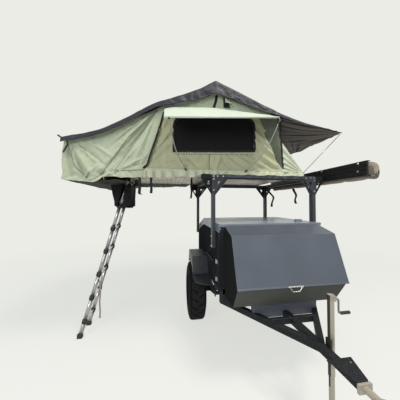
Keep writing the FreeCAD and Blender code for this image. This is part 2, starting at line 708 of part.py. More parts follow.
# Tub, lid, tailgate and doors
def tub():
    """An open box with a sloped rear, door openings in its sides and a gap for the tailgate."""
    outline = [
        (TUB_REAR_X, FLOOR_Z),
        (TUB_FRONT_X, FLOOR_Z),
        (TUB_FRONT_X, WALL_TOP_Z),
        (SLOPE_X, WALL_TOP_Z),
        (TUB_REAR_X, REAR_WALL_TOP_Z),
    ]
    shell = side_prism(outline, -TUB_HALF, TUB_HALF)
    inside = TUB_HALF - TUB_SHEET
    shell = shell.cut(box(TUB_REAR_X + TUB_SHEET, TUB_FRONT_X - TUB_SHEET, -inside, inside,
                          FLOOR_Z + TUB_SHEET, LID_TOP_Z))
    gate = box(TUB_REAR_X - 1.0, TUB_REAR_X + TUB_SHEET + 1.0, -TAILGATE_HALF - MOVE_GAP,
               TAILGATE_HALF + MOVE_GAP, FLOOR_Z + SILL_H, LID_TOP_Z)
    shell = shell.cut(gate)
    for side in (-1, 1):
        hole = box(DOOR_REAR_X - MOVE_GAP, DOOR_FRONT_X + MOVE_GAP, side * (inside - 1.0), side * (TUB_HALF + 1.0),
                   DOOR_LOW_Z - MOVE_GAP, DOOR_TOP_Z + MOVE_GAP)
        shell = shell.cut(hole)
    pieces = [shell]
    rail_half = LID_HALF - LID_SHEET - MOVE_GAP
    pieces.append(box(TUB_FRONT_X - TUB_SHEET, TUB_FRONT_X, -rail_half, rail_half, WALL_TOP_Z, LID_HINGE[1]))
    pin = rod((LID_HINGE[0], -rail_half, LID_HINGE[1]), (LID_HINGE[0], rail_half, LID_HINGE[1]), PIN_R)
    pieces.append(pin)
    for y in GATE_HINGE_Y:
        y0, y1 = y - GATE_HINGE_HALF, y + GATE_HINGE_HALF
        barrel = rod((GATE_HINGE[0], y0, GATE_HINGE[1]), (GATE_HINGE[0], y1, GATE_HINGE[1]), GATE_PIN_R)
        leaf = box(TUB_REAR_X - GATE_PIN_R * 2, TUB_REAR_X + 1.0, y0, y1, GATE_HINGE[1] - 30.0, GATE_HINGE[1] - 2.0)
        pieces += [barrel, leaf]
    return fused(pieces)


def top_lid():
    """A shallow cap over the tub, flat and then sloping down to the rear, open below."""
    low_front = TUB_FRONT_X - TUB_SHEET - MOVE_GAP
    skirt_z = LID_TOP_Z - LID_HINGE_DROP
    back_x = TUB_REAR_X - 2.0
    top = [
        (TUB_FRONT_X, skirt_z),
        (TUB_FRONT_X, LID_TOP_Z),
        (SLOPE_X, LID_TOP_Z),
        (back_x, LID_TOP_Z - SLOPE_DROP),
        (back_x, REAR_WALL_TOP_Z + LID_GAP),
    ]
    sheet = side_prism(strip(top, LID_SHEET), -LID_HALF, LID_HALF)
    flank = [
        (TUB_FRONT_X - 1.0, skirt_z),
        (TUB_FRONT_X - 1.0, LID_TOP_Z - 1.0),
        (SLOPE_X, LID_TOP_Z - 1.0),
        (back_x + 1.0, LID_TOP_Z - SLOPE_DROP - 1.0),
        (back_x + 1.0, REAR_WALL_TOP_Z + LID_GAP),
        (TUB_REAR_X, REAR_WALL_TOP_Z + LID_GAP),
        (SLOPE_X, WALL_TOP_Z + LID_GAP),
        (low_front, WALL_TOP_Z + LID_GAP),
        (low_front, skirt_z),
    ]
    right = side_prism(flank, -LID_HALF, -LID_HALF + LID_SHEET)
    left = side_prism(flank, LID_HALF - LID_SHEET, LID_HALF)
    fitting = box(FITTING_X - 22.0, FITTING_X + 22.0, FITTING_Y - 42.0, FITTING_Y + 42.0, LID_TOP_Z, LID_TOP_Z + 30.0)
    fitting = fitting.makeFillet(9.0, [e for e in fitting.Edges if e.CenterOfMass.z > LID_TOP_Z + 1.0])
    return fused([sheet, right, left, fitting])


def tailgate():
    """The drop-down rear panel with a raised frame round its shallow field."""
    low = GATE_HINGE[1]
    top = REAR_WALL_TOP_Z - MOVE_GAP
    panel = box(TUB_REAR_X, TUB_REAR_X + TAILGATE_T, -TAILGATE_HALF, TAILGATE_HALF, low, top)
    half = TAILGATE_HALF - GATE_FRAME
    well = box(TUB_REAR_X - 1.0, TUB_REAR_X + PANEL_T, -half, half, low + GATE_FRAME, top - GATE_FRAME)
    return panel.cut(well)


def tailgate_trim():
    """The tailgate's pull bar on two feet and its three moving hinge leaves."""
    bar_z = REAR_WALL_TOP_Z - MOVE_GAP - GATE_BAR_DROP
    bar_x = TUB_REAR_X - GATE_BAR_STAND
    pieces = [rod((bar_x, -GATE_BAR_HALF, bar_z), (bar_x, GATE_BAR_HALF, bar_z), GRIP_ROD_R)]
    for y in (-GATE_BAR_HALF * 0.8, GATE_BAR_HALF * 0.8):
        pieces.append(rod((TUB_REAR_X + PANEL_T, y, bar_z), (bar_x, y, bar_z), GRIP_ROD_R * 0.8))
    grip = fused(pieces)
    leaves = []
    for y in GATE_HINGE_Y:
        leaves.append(box(TUB_REAR_X - GATE_PIN_R * 2, TUB_REAR_X, y - GATE_HINGE_HALF, y + GATE_HINGE_HALF,
                          GATE_HINGE[1] + GATE_PIN_R + FIT, GATE_HINGE[1] + 44.0))
    return apart([grip] + leaves)


def door(side):
    """A side door with a shallow pressed field in its outer face."""
    outer = TUB_HALF
    panel = box(DOOR_REAR_X, DOOR_FRONT_X, side * (outer - DOOR_T), side * outer, DOOR_LOW_Z, DOOR_TOP_Z)
    field = box(DOOR_REAR_X + DOOR_FRAME, DOOR_FRONT_X - DOOR_FRAME, side * (outer - PANEL_T), side * (outer + 1.0),
                DOOR_LOW_Z + DOOR_FRAME, DOOR_TOP_Z - DOOR_FRAME)
    return panel.cut(field)


def door_trim(side):
    """A door's grip bar on two feet, and its two moving hinge leaves."""
    y = side * (TUB_HALF + GRIP_STAND)
    foot = side * (TUB_HALF - PANEL_T)
    bar = rod((GRIP_REAR_X, y, GRIP_Z), (GRIP_FRONT_X, y, GRIP_Z), GRIP_ROD_R)
    pieces = [bar]
    for x in (GRIP_REAR_X + GRIP_FOOT, GRIP_FRONT_X - GRIP_FOOT):
        pieces.append(rod((x, foot, GRIP_Z), (x, y, GRIP_Z), GRIP_ROD_R * 0.8))
    grip = fused(pieces)
    leaves = []
    for z in HINGE_LEVELS:
        leaf = box(DOOR_HINGE_X - HINGE_R - FIT, DOOR_HINGE_X - HINGE_R - HINGE_LEAF_L, side * TUB_HALF,
                   side * (TUB_HALF + HINGE_LEAF_T), z - HINGE_H / 2, z + HINGE_H / 2)
        leaves.append(leaf)
    return apart([grip] + leaves)


def door_hinges():
    """The fixed leaves and barrels of both doors' hinges, on the tub's side walls."""
    pieces = []
    for side in (-1, 1):
        for z in HINGE_LEVELS:
            y = side * DOOR_HINGE_Y
            barrel = rod((DOOR_HINGE_X, y, z - HINGE_H / 2), (DOOR_HINGE_X, y, z + HINGE_H / 2), HINGE_R)
            leaf = box(DOOR_HINGE_X, DOOR_HINGE_X + HINGE_LEAF_L, side * TUB_HALF,
                       side * (TUB_HALF + HINGE_LEAF_T), z - HINGE_H / 2, z + HINGE_H / 2)
            pieces.append(fused([barrel, leaf]))
    return apart(pieces)


# Nose box
def nose_edge():
    """The lid's middle line from the hinge over the crease to the brow."""
    start = along(NOSE_TOP, NOSE_CREASE, PIN_R + FIT)
    return [start, NOSE_CREASE, NOSE_BROW]


def nose_box():
    """Cheeks, rear wall, floor and lower front panel, open at the top and the front."""
    seat = beside([NOSE_TOP, NOSE_CREASE, NOSE_BROW], -NOSE_LID_T / 2 - MOVE_GAP)
    toe = (NOSE_TOE_X, RAIL_Z)
    wall_x = NOSE_TOP[0] - PIN_R * 2
    ledge_z = seat[0][1] - LEDGE_DROP
    outline = [
        (TUB_FRONT_X, RAIL_Z), toe, seat[2], seat[1],
        (NOSE_TOP[0], seat[0][1]), (wall_x, seat[0][1]), (wall_x, ledge_z), (TUB_FRONT_X, ledge_z),
    ]
    half = NOSE_HALF - NOSE_LID_OVER
    pieces = []
    for side in (-1, 1):
        pieces.append(side_prism(outline, side * half, side * (half - NOSE_SHEET)))
    pieces.append(box(TUB_FRONT_X, TUB_FRONT_X + NOSE_SHEET, -half, half, RAIL_Z, ledge_z))
    pieces.append(box(TUB_FRONT_X, NOSE_TOE_X - 2.0, -half, half, RAIL_Z, RAIL_Z + NOSE_SHEET))
    pieces.append(side_prism(strip([toe, seat[2]], NOSE_SHEET), -half, half))
    pieces.append(box(wall_x, NOSE_TOP[0] - PIN_R * 0.4, -half, half, ledge_z - NOSE_SHEET, NOSE_TOP[1]))
    pieces.append(box(TUB_FRONT_X, NOSE_TOP[0] - PIN_R, -half, half, ledge_z - NOSE_SHEET, ledge_z))
    pieces.append(rod((NOSE_TOP[0], -half, NOSE_TOP[1]), (NOSE_TOP[0], half, NOSE_TOP[1]), PIN_R))
    return fused(pieces)


def nose_lid():
    """The folded lid with a turned-out lip along its lower edge and a bent-rod handle under it."""
    line = nose_edge()
    lip = (NOSE_BROW[0] + LIP_OUT, NOSE_BROW[1] - LIP_H)
    outer = beside(line + [lip], NOSE_LID_T / 2)
    sheet = side_prism(strip(outer, -NOSE_LID_T), -NOSE_HALF, NOSE_HALF)
    x = lip[0] + HANDLE_ROD_R / 2
    top, low = lip[1] + HANDLE_ROD_R, lip[1] - HANDLE_H + HANDLE_ROD_R
    line = [(x, -HANDLE_TOP / 2, top), (x, -HANDLE_LOW / 2, low), (x, HANDLE_LOW / 2, low), (x, HANDLE_TOP / 2, top)]
    return fused([sheet, bent_rod(line, HANDLE_ROD_R, HANDLE_BEND)])


# Fenders
def fender(side):
    """A flat-topped fender in bent sheet with an arched side skirt, running on into the step plate."""
    line = [
        (-FENDER_HALF_LOW, FENDER_LOW_Z),
        (-FENDER_HALF_TOP, FENDER_TOP_Z),
        (FENDER_HALF_TOP, FENDER_TOP_Z),
        (FENDER_HALF_LOW, FENDER_LOW_Z),
        (STEP_FRONT_X + STEP_TAPER, STEP_LOW_Z),
    ]
    sheet = side_prism(strip(line, -FENDER_T), side * TUB_HALF, side * FENDER_OUT)
    corner = [
        (STEP_FRONT_X + STEP_TAPER + 5.0, side * (TUB_HALF + 60.0)),
        (STEP_FRONT_X + STEP_TAPER + 5.0, side * (FENDER_OUT + 5.0)),
        (STEP_FRONT_X, side * (FENDER_OUT + 5.0)),
        (STEP_FRONT_X, side * FENDER_OUT),
    ]
    sheet = sheet.cut(plan_prism(corner, STEP_LOW_Z - 60.0, FENDER_LOW_Z + 20.0))
    inner, outer = side * (FENDER_OUT - FENDER_T), side * FENDER_OUT
    arch = rod((0, inner - side, AXLE_Z), (0, outer + side, AXLE_Z), TYRE_R + FENDER_ARCH)
    return fused([sheet, side_prism(line[:4], inner, outer).cut(arch)])


# Rack
def rack_posts():
    """Four upright tubes bolted to the outside of the tub's side walls."""
    pieces = []
    for x in (POST_FRONT_X, POST_REAR_X):
        for side in (-1, 1):
            inner, outer = side * TUB_HALF, side * (TUB_HALF + POST_WIDE)
            post = box(x - POST_LONG / 2, x + POST_LONG / 2, inner, outer, POST_LOW_Z, BEAM_LOW_Z)
            wall = side * POST_WALL
            hollow = box(x - POST_LONG / 2 + POST_WALL, x + POST_LONG / 2 - POST_WALL, inner + wall, outer - wall,
                         POST_LOW_Z, BEAM_LOW_Z)
            pieces.append(post.cut(hollow))
    return apart(pieces)


def rack_beams():
    """Two cross beams over the posts, and two side rails between them."""
    pieces = []
    for x in (POST_FRONT_X, POST_REAR_X):
        pieces.append(box(x - BEAM / 2, x + BEAM / 2, -BEAM_REACH, BEAM_REACH, BEAM_LOW_Z, BEAM_Z))
    for side in (-1, 1):
        y = side * POST_Y
        pieces.append(box(POST_REAR_X + BEAM / 2 + FIT, POST_FRONT_X - BEAM / 2 - FIT, y - BEAM / 2, y + BEAM / 2,
                          BEAM_LOW_Z, BEAM_Z))
    return apart(pieces)


def gusset_plate(length, height):
    """One triangular plate in the Y-Z plane with a triangular cut-out, its corner at the origin."""
    plate = front_prism([(0, 0), (length, 0), (0, -height)], 0, GUSSET_T)
    inner = [(length * 0.2, -height * 0.14), (length * 0.62, -height * 0.14), (length * 0.2, -height * 0.6)]
    return plate.cut(front_prism(inner, -1.0, GUSSET_T + 1.0))


def rack_gussets():
    """Gussets on each side of each post under the cross beams, and one under each side rail's end."""
    pieces = []
    outer = TUB_HALF + POST_WIDE
    for x, face in ((POST_FRONT_X, 1), (POST_REAR_X, -1)):
        x0 = x + face * BEAM / 2 - (GUSSET_T if face > 0 else 0.0)
        for side in (-1, 1):
            reach_out = gusset_plate(BEAM_REACH - outer, GUSSET_H)
            reach_in = gusset_plate(GUSSET_L, GUSSET_H)
            if side > 0:
                reach_in = mirrored(reach_in)
            else:
                reach_out = mirrored(reach_out)
            reach_out.translate(V(x0, side * outer, BEAM_LOW_Z))
            reach_in.translate(V(x0, side * TUB_HALF, BEAM_LOW_Z))
            pieces += [reach_out, reach_in]
            along_rail = gusset_plate(GUSSET_L, GUSSET_H)
            along_rail.rotate(V(0, 0, 0), V(0, 0, 1), 90 if face > 0 else -90)
            along_rail.translate(V(x - face * POST_LONG / 2, side * POST_Y + (GUSSET_T / 2) * -face, BEAM_LOW_Z))
            pieces.append(along_rail)
    return apart(pieces)


# Awning
def awning_case():
    """A long aluminium back plate with three ribs on its inner face and a lip at its top and foot."""
    y0 = BEAM_REACH
    low = AWNING_TOP_Z - AWNING_H
    plate = box(AWNING_REAR_X, AWNING_FRONT_X, y0 + AWNING_RIB, y0 + AWNING_DEEP, low, AWNING_TOP_Z)
    pieces = [plate]
    for i in range(AWNING_RIBS):
        z = low + (i + 0.5) * AWNING_H / AWNING_RIBS
        pieces.append(box(AWNING_REAR_X, AWNING_FRONT_X, y0, y0 + AWNING_RIB + 1.0,
                          z - AWNING_RIB_H / 2, z + AWNING_RIB_H / 2))
    for z in (low, AWNING_TOP_Z - 5.0):
        pieces.append(box(AWNING_REAR_X, AWNING_FRONT_X, y0 + AWNING_DEEP - 1.0, y0 + AWNING_DEEP + 24.0, z, z + 5.0))
    return fused(pieces)


def awning_bag():
    """The rolled awning in its soft bag, hanging along the outer side of the case."""
    y0 = BEAM_REACH + AWNING_DEEP + FIT
    low = AWNING_TOP_Z - AWNING_H
    outline = [
        (y0, low + 5.0 + FIT),
        (y0 + 26.0, low + 5.0 + FIT),
        (y0 + 26.0, low - BAG_SAG),
        (y0 + BAG_DEEP - 30.0, low - BAG_SAG),
        (y0 + BAG_DEEP, low + 16.0),
        (y0 + BAG_DEEP, AWNING_TOP_Z - 40.0),
        (y0 + BAG_DEEP - 30.0, AWNING_TOP_Z - 8.0),
        (y0 + 26.0, AWNING_TOP_Z - 5.0 - FIT),
        (y0, AWNING_TOP_Z - 5.0 - FIT),
    ]
    return front_prism(outline, AWNING_REAR_X + 4.0, AWNING_FRONT_X - 4.0)


# Tent
def base_fixed():
    """The tent's fixed base panel on the rack beams."""
    return box(TENT_REAR_X, TENT_FRONT_X, HINGE_Y, BASE_LEFT_Y, BASE_Z, TENT_FLOOR_Z)


def base_fold():
    """The tent's folding base panel with the ladder's two brackets at its outer edge."""
    panel = box(TENT_REAR_X, TENT_FRONT_X, BASE_RIGHT_Y, HINGE_Y - FIT, BASE_Z, TENT_FLOOR_Z)
    pieces = [panel]
    for x, way in ((LADDER_X[0], 1), (LADDER_X[1], -1)):
        x0 = x + way * (LADDER_RAIL_R + FIT)
        ear = [
            (BASE_RIGHT_Y + 70.0, BASE_Z + 1.0),
            (BASE_RIGHT_Y, BASE_Z + 1.0),
            (LADDER_TOP[0] - 20.0, LADDER_TOP[1] + 16.0),
            (LADDER_TOP[0] - 20.0, LADDER_TOP[1] - 18.0),
            (LADDER_TOP[0] + 20.0, LADDER_TOP[1] - 18.0),
        ]
        pieces.append(front_prism(ear, x0, x0 + way * EAR_T))
    return fused(pieces)


def tent_bows():
    """Three bows of round tube, hinged at the base and bent over the canopy's ridges."""
    pieces = []
    foot_z = TENT_FLOOR_Z
    front = TENT_FRONT_X - CLOTH - FIT - BOW_R - 4.0
    rear = TENT_REAR_X + CLOTH + FIT + BOW_R + 4.0
    feet = (HINGE_Y - BOW_FOOT, HINGE_Y, HINGE_Y + BOW_FOOT)
    for foot_y, top in zip(feet, (BOW_RIGHT, RIDGE, BOW_LEFT)):
        drop = CLOTH + FIT + BOW_R + 5.0
        tip = (top[0] + (BOW_R * 1.2 if top is BOW_RIGHT else -BOW_R * 1.2 if top is BOW_LEFT else 0.0), top[1] - drop * 1.25)
        corner_f = (front, tip[0], tip[1])
        corner_r = (rear, tip[0], tip[1])
        legs = [
            rod((front, foot_y, foot_z), corner_f, BOW_R),
            rod(corner_f, corner_r, BOW_R),
            rod(corner_r, (rear, foot_y, foot_z), BOW_R),
            Part.makeSphere(BOW_R, V(*corner_f)),
            Part.makeSphere(BOW_R, V(*corner_r)),
        ]
        bow = fused(legs)
        under = box(rear - BOW_R * 4, front + BOW_R * 4, foot_y - BOW_FOOT, foot_y + BOW_FOOT, foot_z - BOW_R * 4, foot_z)
        pieces.append(bow.cut(under))
    return apart(pieces)


def canopy_outline():
    """The canopy's outer section in the Y-Z plane."""
    return [
        (BASE_RIGHT_Y, TENT_FLOOR_Z),
        BOW_RIGHT,
        RIDGE,
        BOW_LEFT,
        (BASE_LEFT_Y, TENT_FLOOR_Z),
    ]


def window_cut(x0, x1):
    """The window's hole, with round upper corners."""
    hole = box(x0, x1, WINDOW_Y[0], WINDOW_Y[1], WINDOW_Z[0], WINDOW_Z[1])
    edges = [e for e in hole.Edges if abs(e.tangentAt(e.FirstParameter).x) > 0.9 and e.CenterOfMass.z > WINDOW_Z[1] - 1]
    return hole.makeFillet(WINDOW_R, edges)


def canopy_wall(x0, x1):
    """An upright canopy wall with its window cut."""
    wall = front_prism(canopy_outline(), x0, x1)
    return wall.cut(window_cut(min(x0, x1) - 1, max(x0, x1) + 1))


def window_mesh():
    """The two insect nets, set into the window holes."""
    nets = []
    for x in (TENT_FRONT_X - CLOTH, TENT_REAR_X):
        net = box(x + 2.0, x + CLOTH - 2.0, WINDOW_Y[0], WINDOW_Y[1], WINDOW_Z[0], WINDOW_Z[1])
        edges = [e for e in net.Edges
                 if abs(e.tangentAt(e.FirstParameter).x) > 0.9 and e.CenterOfMass.z > WINDOW_Z[1] - 1]
        nets.append(net.makeFillet(WINDOW_R, edges))
    return apart(nets)


def canopy_roof():
    """The two roof slopes, from bow to bow over the ridge."""
    line = [BOW_RIGHT, RIDGE, BOW_LEFT]
    return front_prism(strip(line, -CLOTH), TENT_REAR_X + CLOTH, TENT_FRONT_X - CLOTH)


def canopy_ends():
    """The left end wall, and the right end wall with its doorway into the annex."""
    x0, x1 = TENT_REAR_X + CLOTH, TENT_FRONT_X - CLOTH
    left = front_prism(strip([along(BOW_LEFT, (BASE_LEFT_Y, TENT_FLOOR_Z), CLOTH * 2), (BASE_LEFT_Y, TENT_FLOOR_Z)], -CLOTH), x0, x1)
    right = front_prism(strip([(BASE_RIGHT_Y, TENT_FLOOR_Z), along(BOW_RIGHT, (BASE_RIGHT_Y, TENT_FLOOR_Z), CLOTH * 2)], -CLOTH), x0, x1)
    door_box = box(DOORWAY_X[0], DOORWAY_X[1], BASE_RIGHT_Y - 50.0, BOW_RIGHT[0] + 50.0,
                   TENT_FLOOR_Z - 20.0, BOW_RIGHT[1] - DOORWAY_TOP)
    floor = box(x0 - 1, x1 + 1, BASE_RIGHT_Y - 50.0, BASE_LEFT_Y + 50.0, BASE_Z - 60.0, TENT_FLOOR_Z)
    return apart([left.cut(floor), right.cut(door_box).cut(floor)])


def annex_line():
    """The annex's outer line from the right bow over the tip down to its hem."""
    start = along(BOW_RIGHT, ANNEX_TIP, CLOTH)
    return [start, ANNEX_TIP, ANNEX_LOW]


def annex_walls():
    """The annex's sloping roof and outer wall, with a front and a rear wall."""
    line = annex_line()
    skin = front_prism(strip(line, CLOTH), TENT_REAR_X + CLOTH, TENT_FRONT_X - CLOTH)
    inner_foot = BASE_RIGHT_Y - FIT
    outline = line + [(inner_foot, ANNEX_LOW[1]), (inner_foot, TENT_FLOOR_Z), along(BOW_RIGHT, (BASE_RIGHT_Y, TENT_FLOOR_Z), CLOTH)]
    front = front_prism(outline, TENT_FRONT_X - CLOTH, TENT_FRONT_X)
    rear = front_prism(outline, TENT_REAR_X, TENT_REAR_X + CLOTH)
    return fused([skin, front, rear])


def annex_floor():
    """The annex's floor with the hatch for the ladder."""
    z0 = ANNEX_LOW[1]
    y_low = ANNEX_LOW[0] + CLOTH + FIT * 3
    floor = box(TENT_REAR_X + CLOTH + FIT, TENT_FRONT_X - CLOTH - FIT, y_low, BASE_RIGHT_Y - FIT, z0, z0 + CLOTH)
    hatch = box(HATCH_X[0], HATCH_X[1], HATCH_Y[0], HATCH_Y[1], z0 - 1.0, z0 + CLOTH + 1.0)
    return floor.cut(hatch)


def fly_sheet():
    """The fly over the whole tent, with a valance at each end, stretched out beyond the left end."""
    tip = (ANNEX_TIP[0] - 14.0, ANNEX_TIP[1] + 6.0)
    line = beside([tip, BOW_RIGHT, RIDGE, BOW_LEFT, FLY_EDGE], FLY_GAP)
    rear, front = TENT_REAR_X - FLY_OVER, TENT_FRONT_X + FLY_OVER
    hem = [(y, z - drop) for (y, z), drop in zip(line, VALANCE)]
    valance = line[:4] + hem[::-1]
    pieces = [front_prism(strip(line, FLY_T), rear, front)]
    pieces.append(front_prism(valance, front - FLY_T, front))
    pieces.append(front_prism(valance, rear, rear + FLY_T))
    return fused(pieces)


def window_flap():
    """The awning flaps over the windows, each held out on its bar."""
    flaps = []
    for face, way in ((TENT_FRONT_X, 1), (TENT_REAR_X, -1)):
        near = face + way * FIT
        far = face + way * FLAP_REACH
        top = WINDOW_Z[1] + FLAP_RISE
        outline = [(near, top), (far, FLAP_Z), (far, FLAP_Z - CLOTH), (near, top - CLOTH)]
        sheet = side_prism(outline, FLAP_Y[0], FLAP_Y[1])
        bar_z = FLAP_Z - CLOTH / 2
        bar = rod((far, FLAP_Y[0], bar_z), (far, FLAP_Y[1], bar_z), FLAP_BAR_R)
        flaps.append(fused([sheet, bar]))
    return apart(flaps)


def tent_rods():
    """Spring rods that hold out the window flaps and the fly's left edge."""
    rods = []
    foot_z = BASE_Z + BASE_T / 2
    for face, way in ((TENT_FRONT_X, 1), (TENT_REAR_X, -1)):
        for foot_y, top_y in zip(FLAP_FOOT_Y, (FLAP_Y[0] + 16.0, FLAP_Y[1] - 16.0)):
            reach, rise = FLAP_REACH, FLAP_Z - CLOTH / 2 - foot_z
            beside_bar = (ROD_R + FLAP_BAR_R + FIT) / math.hypot(reach, rise)
            end = V(face + way * (reach + rise * beside_bar), top_y, foot_z + rise - reach * beside_bar)
            foot = V(face, foot_y, foot_z)
            lean = (end - foot).normalize().x
            foot.x += way * (ROD_R * math.sqrt(1 - lean * lean) + FIT)
            rods.append(rod(tuple(foot), tuple(end), ROD_R))
        x = face - way * 30.0
        end = V(x, FLY_EDGE[0] - 24.0, FLY_EDGE[1])
        foot = V(x, BASE_LEFT_Y, foot_z)
        lean = (end - foot).normalize().y
        foot.y += ROD_R * math.sqrt(1 - lean * lean) + FIT
        rods.append(rod(tuple(foot), tuple(end), ROD_R))
    return apart(rods)


# Ladder
def ladder_point(length):
    """A point on the ladder's middle line, at a length up from the foot."""
    foot = (LADDER_FOOT_Y, 0.0)
    return along(foot, LADDER_TOP, length)


def ladder_rails():
    """Two telescopic rails, each cut off level on the ground."""
    rails = []
    reach = LADDER_RAIL_R * 8
    ground = box(LADDER_X[0] - reach, LADDER_X[1] + reach, LADDER_FOOT_Y - reach, LADDER_FOOT_Y + reach, -reach, 0.0)
    foot = ladder_point(-LADDER_RAIL_R * 1.5)
    for x in LADDER_X:
        tube_rail = rod((x, foot[0], foot[1]), (x, LADDER_TOP[0], LADDER_TOP[1]), LADDER_RAIL_R)
        rails.append(tube_rail.cut(ground))
    return apart(rails)


def ladder_rungs():
    """Level rungs between the rails."""
    rungs = []
    length = math.hypot(LADDER_TOP[0] - LADDER_FOOT_Y, LADDER_TOP[1])
    count = int((length - RUNG_FIRST) / RUNG_PITCH) + 1
    for i in range(count):
        at = ladder_point(RUNG_FIRST + i * RUNG_PITCH)
        x0, x1 = LADDER_X[0] + LADDER_RAIL_R, LADDER_X[1] - LADDER_RAIL_R
        rungs.append(rod((x0, at[0], at[1]), (x1, at[0], at[1]), LADDER_RUNG_R))
    return apart(rungs)


def ladder_skirt():
    """A short cloth skirt that hangs round the ladder's top from the annex hatch."""
    z1 = ANNEX_LOW[1]
    outer = box(HATCH_X[0] - SKIRT_T, HATCH_X[1] + SKIRT_T, HATCH_Y[0] - SKIRT_T, HATCH_Y[1], z1 - SKIRT_H, z1)
    inner = box(HATCH_X[0], HATCH_X[1], HATCH_Y[0], HATCH_Y[1] - SKIRT_T, z1 - SKIRT_H - 1.0, z1 + 1.0)
    return outer.cut(inner)


def lamps():
    """Two tail lamps on the rear wall's corners and a marker lamp on each fender."""
    pieces = []
    for side in (-1, 1):
        y0, y1 = side * LAMP_Y[0], side * LAMP_Y[1]
        pieces.append(box(TUB_REAR_X - LAMP_T, TUB_REAR_X, y0, y1, LAMP_Z[0], LAMP_Z[1]))
        mark = box(MARKER_X - MARKER_SIDE / 2, MARKER_X + MARKER_SIDE / 2, side * FENDER_OUT,
                   side * (FENDER_OUT + MARKER_T), MARKER_Z - MARKER_H / 2, MARKER_Z + MARKER_H / 2)
        pieces.append(mark)
    return apart(pieces)


def build():
    """Every node by name."""
    nodes = {
        "frame_rails": frame_rails(),
        "cross_members": cross_members(),
        "drawbar_spine": drawbar_spine(),
        "coupling": coupling(),
        "jack_body": jack_body(),
        "jack_crank": jack_crank(),
        "jack_leg": jack_leg(),
        "axle": axle(),
        "tub": tub(),
        "top_lid": top_lid(),
        "tailgate": tailgate(),
        "tailgate_trim": tailgate_trim(),
        "door_hinges": door_hinges(),
        "nose_box": nose_box(),
        "nose_lid": nose_lid(),
        "rack_posts": rack_posts(),
        "rack_beams": rack_beams(),
        "rack_gussets": rack_gussets(),
        "awning_case": awning_case(),
        "awning_bag": awning_bag(),
        "base_fixed": base_fixed(),
        "base_fold": base_fold(),
        "tent_bows": tent_bows(),
        "canopy_front": canopy_wall(TENT_FRONT_X - CLOTH, TENT_FRONT_X),
        "canopy_rear": canopy_wall(TENT_REAR_X, TENT_REAR_X + CLOTH),
        "canopy_roof": canopy_roof(),
        "canopy_ends": canopy_ends(),
        "window_mesh": window_mesh(),
        "annex_walls": annex_walls(),
        "annex_floor": annex_floor(),
        "fly_sheet": fly_sheet(),
        "window_flap": window_flap(),
        "tent_rods": tent_rods(),
        "ladder_rails": ladder_rails(),
        "ladder_rungs": ladder_rungs(),
        "ladder_skirt": ladder_skirt(),
        "lamps": lamps(),
    }
    for name, side in (("right", -1), ("left", 1)):
        nodes["wheel_" + name] = wheel(side)
        nodes["tyre_" + name] = tyre(side)
        nodes["leaf_spring_" + name] = leaf_spring(side)
        nodes["spring_mounts_" + name] = spring_mounts(side)
        nodes["door_" + name] = door(side)
        nodes["door_trim_" + name] = door_trim(side)
        nodes["fender_" + name] = fender(side)
    return nodes


def middle(nodes):
    """The middle of the overall outline in X and Y."""
    whole = FreeCAD.BoundBox()
    for shape in nodes.values():
        whole.add(shape.optimalBoundingBox(True, False))
    return whole.Center.x, whole.Center.y


def main():
    os.makedirs("parts", exist_ok=True)
    nodes = build()
    mid_x, mid_y = middle(nodes)
    for name, shape in nodes.items():
        shape.translate(V(-mid_x, -mid_y, 0))
        shape.exportStep("parts/" + name + ".step")
    print(len(nodes), "nodes, origin at X", round(mid_x, 3), "Y", round(mid_y, 3))


if __name__ == "__main__":
    main()
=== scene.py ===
"""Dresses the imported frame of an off-road camping trailer with an opened roof-top tent."""

import math

import bmesh
import bpy
from mathutils import Matrix, Vector, noise


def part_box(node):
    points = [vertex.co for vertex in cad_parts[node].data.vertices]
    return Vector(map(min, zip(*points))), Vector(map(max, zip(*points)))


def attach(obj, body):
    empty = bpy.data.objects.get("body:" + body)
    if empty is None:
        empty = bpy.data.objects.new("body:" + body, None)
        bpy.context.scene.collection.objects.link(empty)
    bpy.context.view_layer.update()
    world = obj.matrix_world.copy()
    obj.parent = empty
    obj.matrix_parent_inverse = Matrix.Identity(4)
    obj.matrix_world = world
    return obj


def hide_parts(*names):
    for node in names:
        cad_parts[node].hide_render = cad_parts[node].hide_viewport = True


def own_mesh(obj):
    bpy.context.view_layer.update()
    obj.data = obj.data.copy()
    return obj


bl_info = {
    "name": "Camping Trailer Dressing",
    "version": (1, 0, 0),
    "blender": (4, 5, 0),
    "location": "View3D > Sidebar > Trailer",
    "description": "Adds cloth, trim, small fittings, finishes and a stage to the packed trailer",
    "category": "Object",
}

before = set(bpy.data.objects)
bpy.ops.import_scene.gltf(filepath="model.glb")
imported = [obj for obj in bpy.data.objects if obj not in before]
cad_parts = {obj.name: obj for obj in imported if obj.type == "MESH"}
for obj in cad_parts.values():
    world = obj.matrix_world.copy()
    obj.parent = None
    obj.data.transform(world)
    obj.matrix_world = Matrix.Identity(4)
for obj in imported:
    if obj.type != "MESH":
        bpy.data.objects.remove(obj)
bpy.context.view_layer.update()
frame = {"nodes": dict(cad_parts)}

# The middle of the axle tube is where X and Y start in every place given below.
AXLE_LOW, AXLE_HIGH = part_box("axle")
START = Vector(((AXLE_LOW.x + AXLE_HIGH.x) / 2, (AXLE_LOW.y + AXLE_HIGH.y) / 2, 0.0))

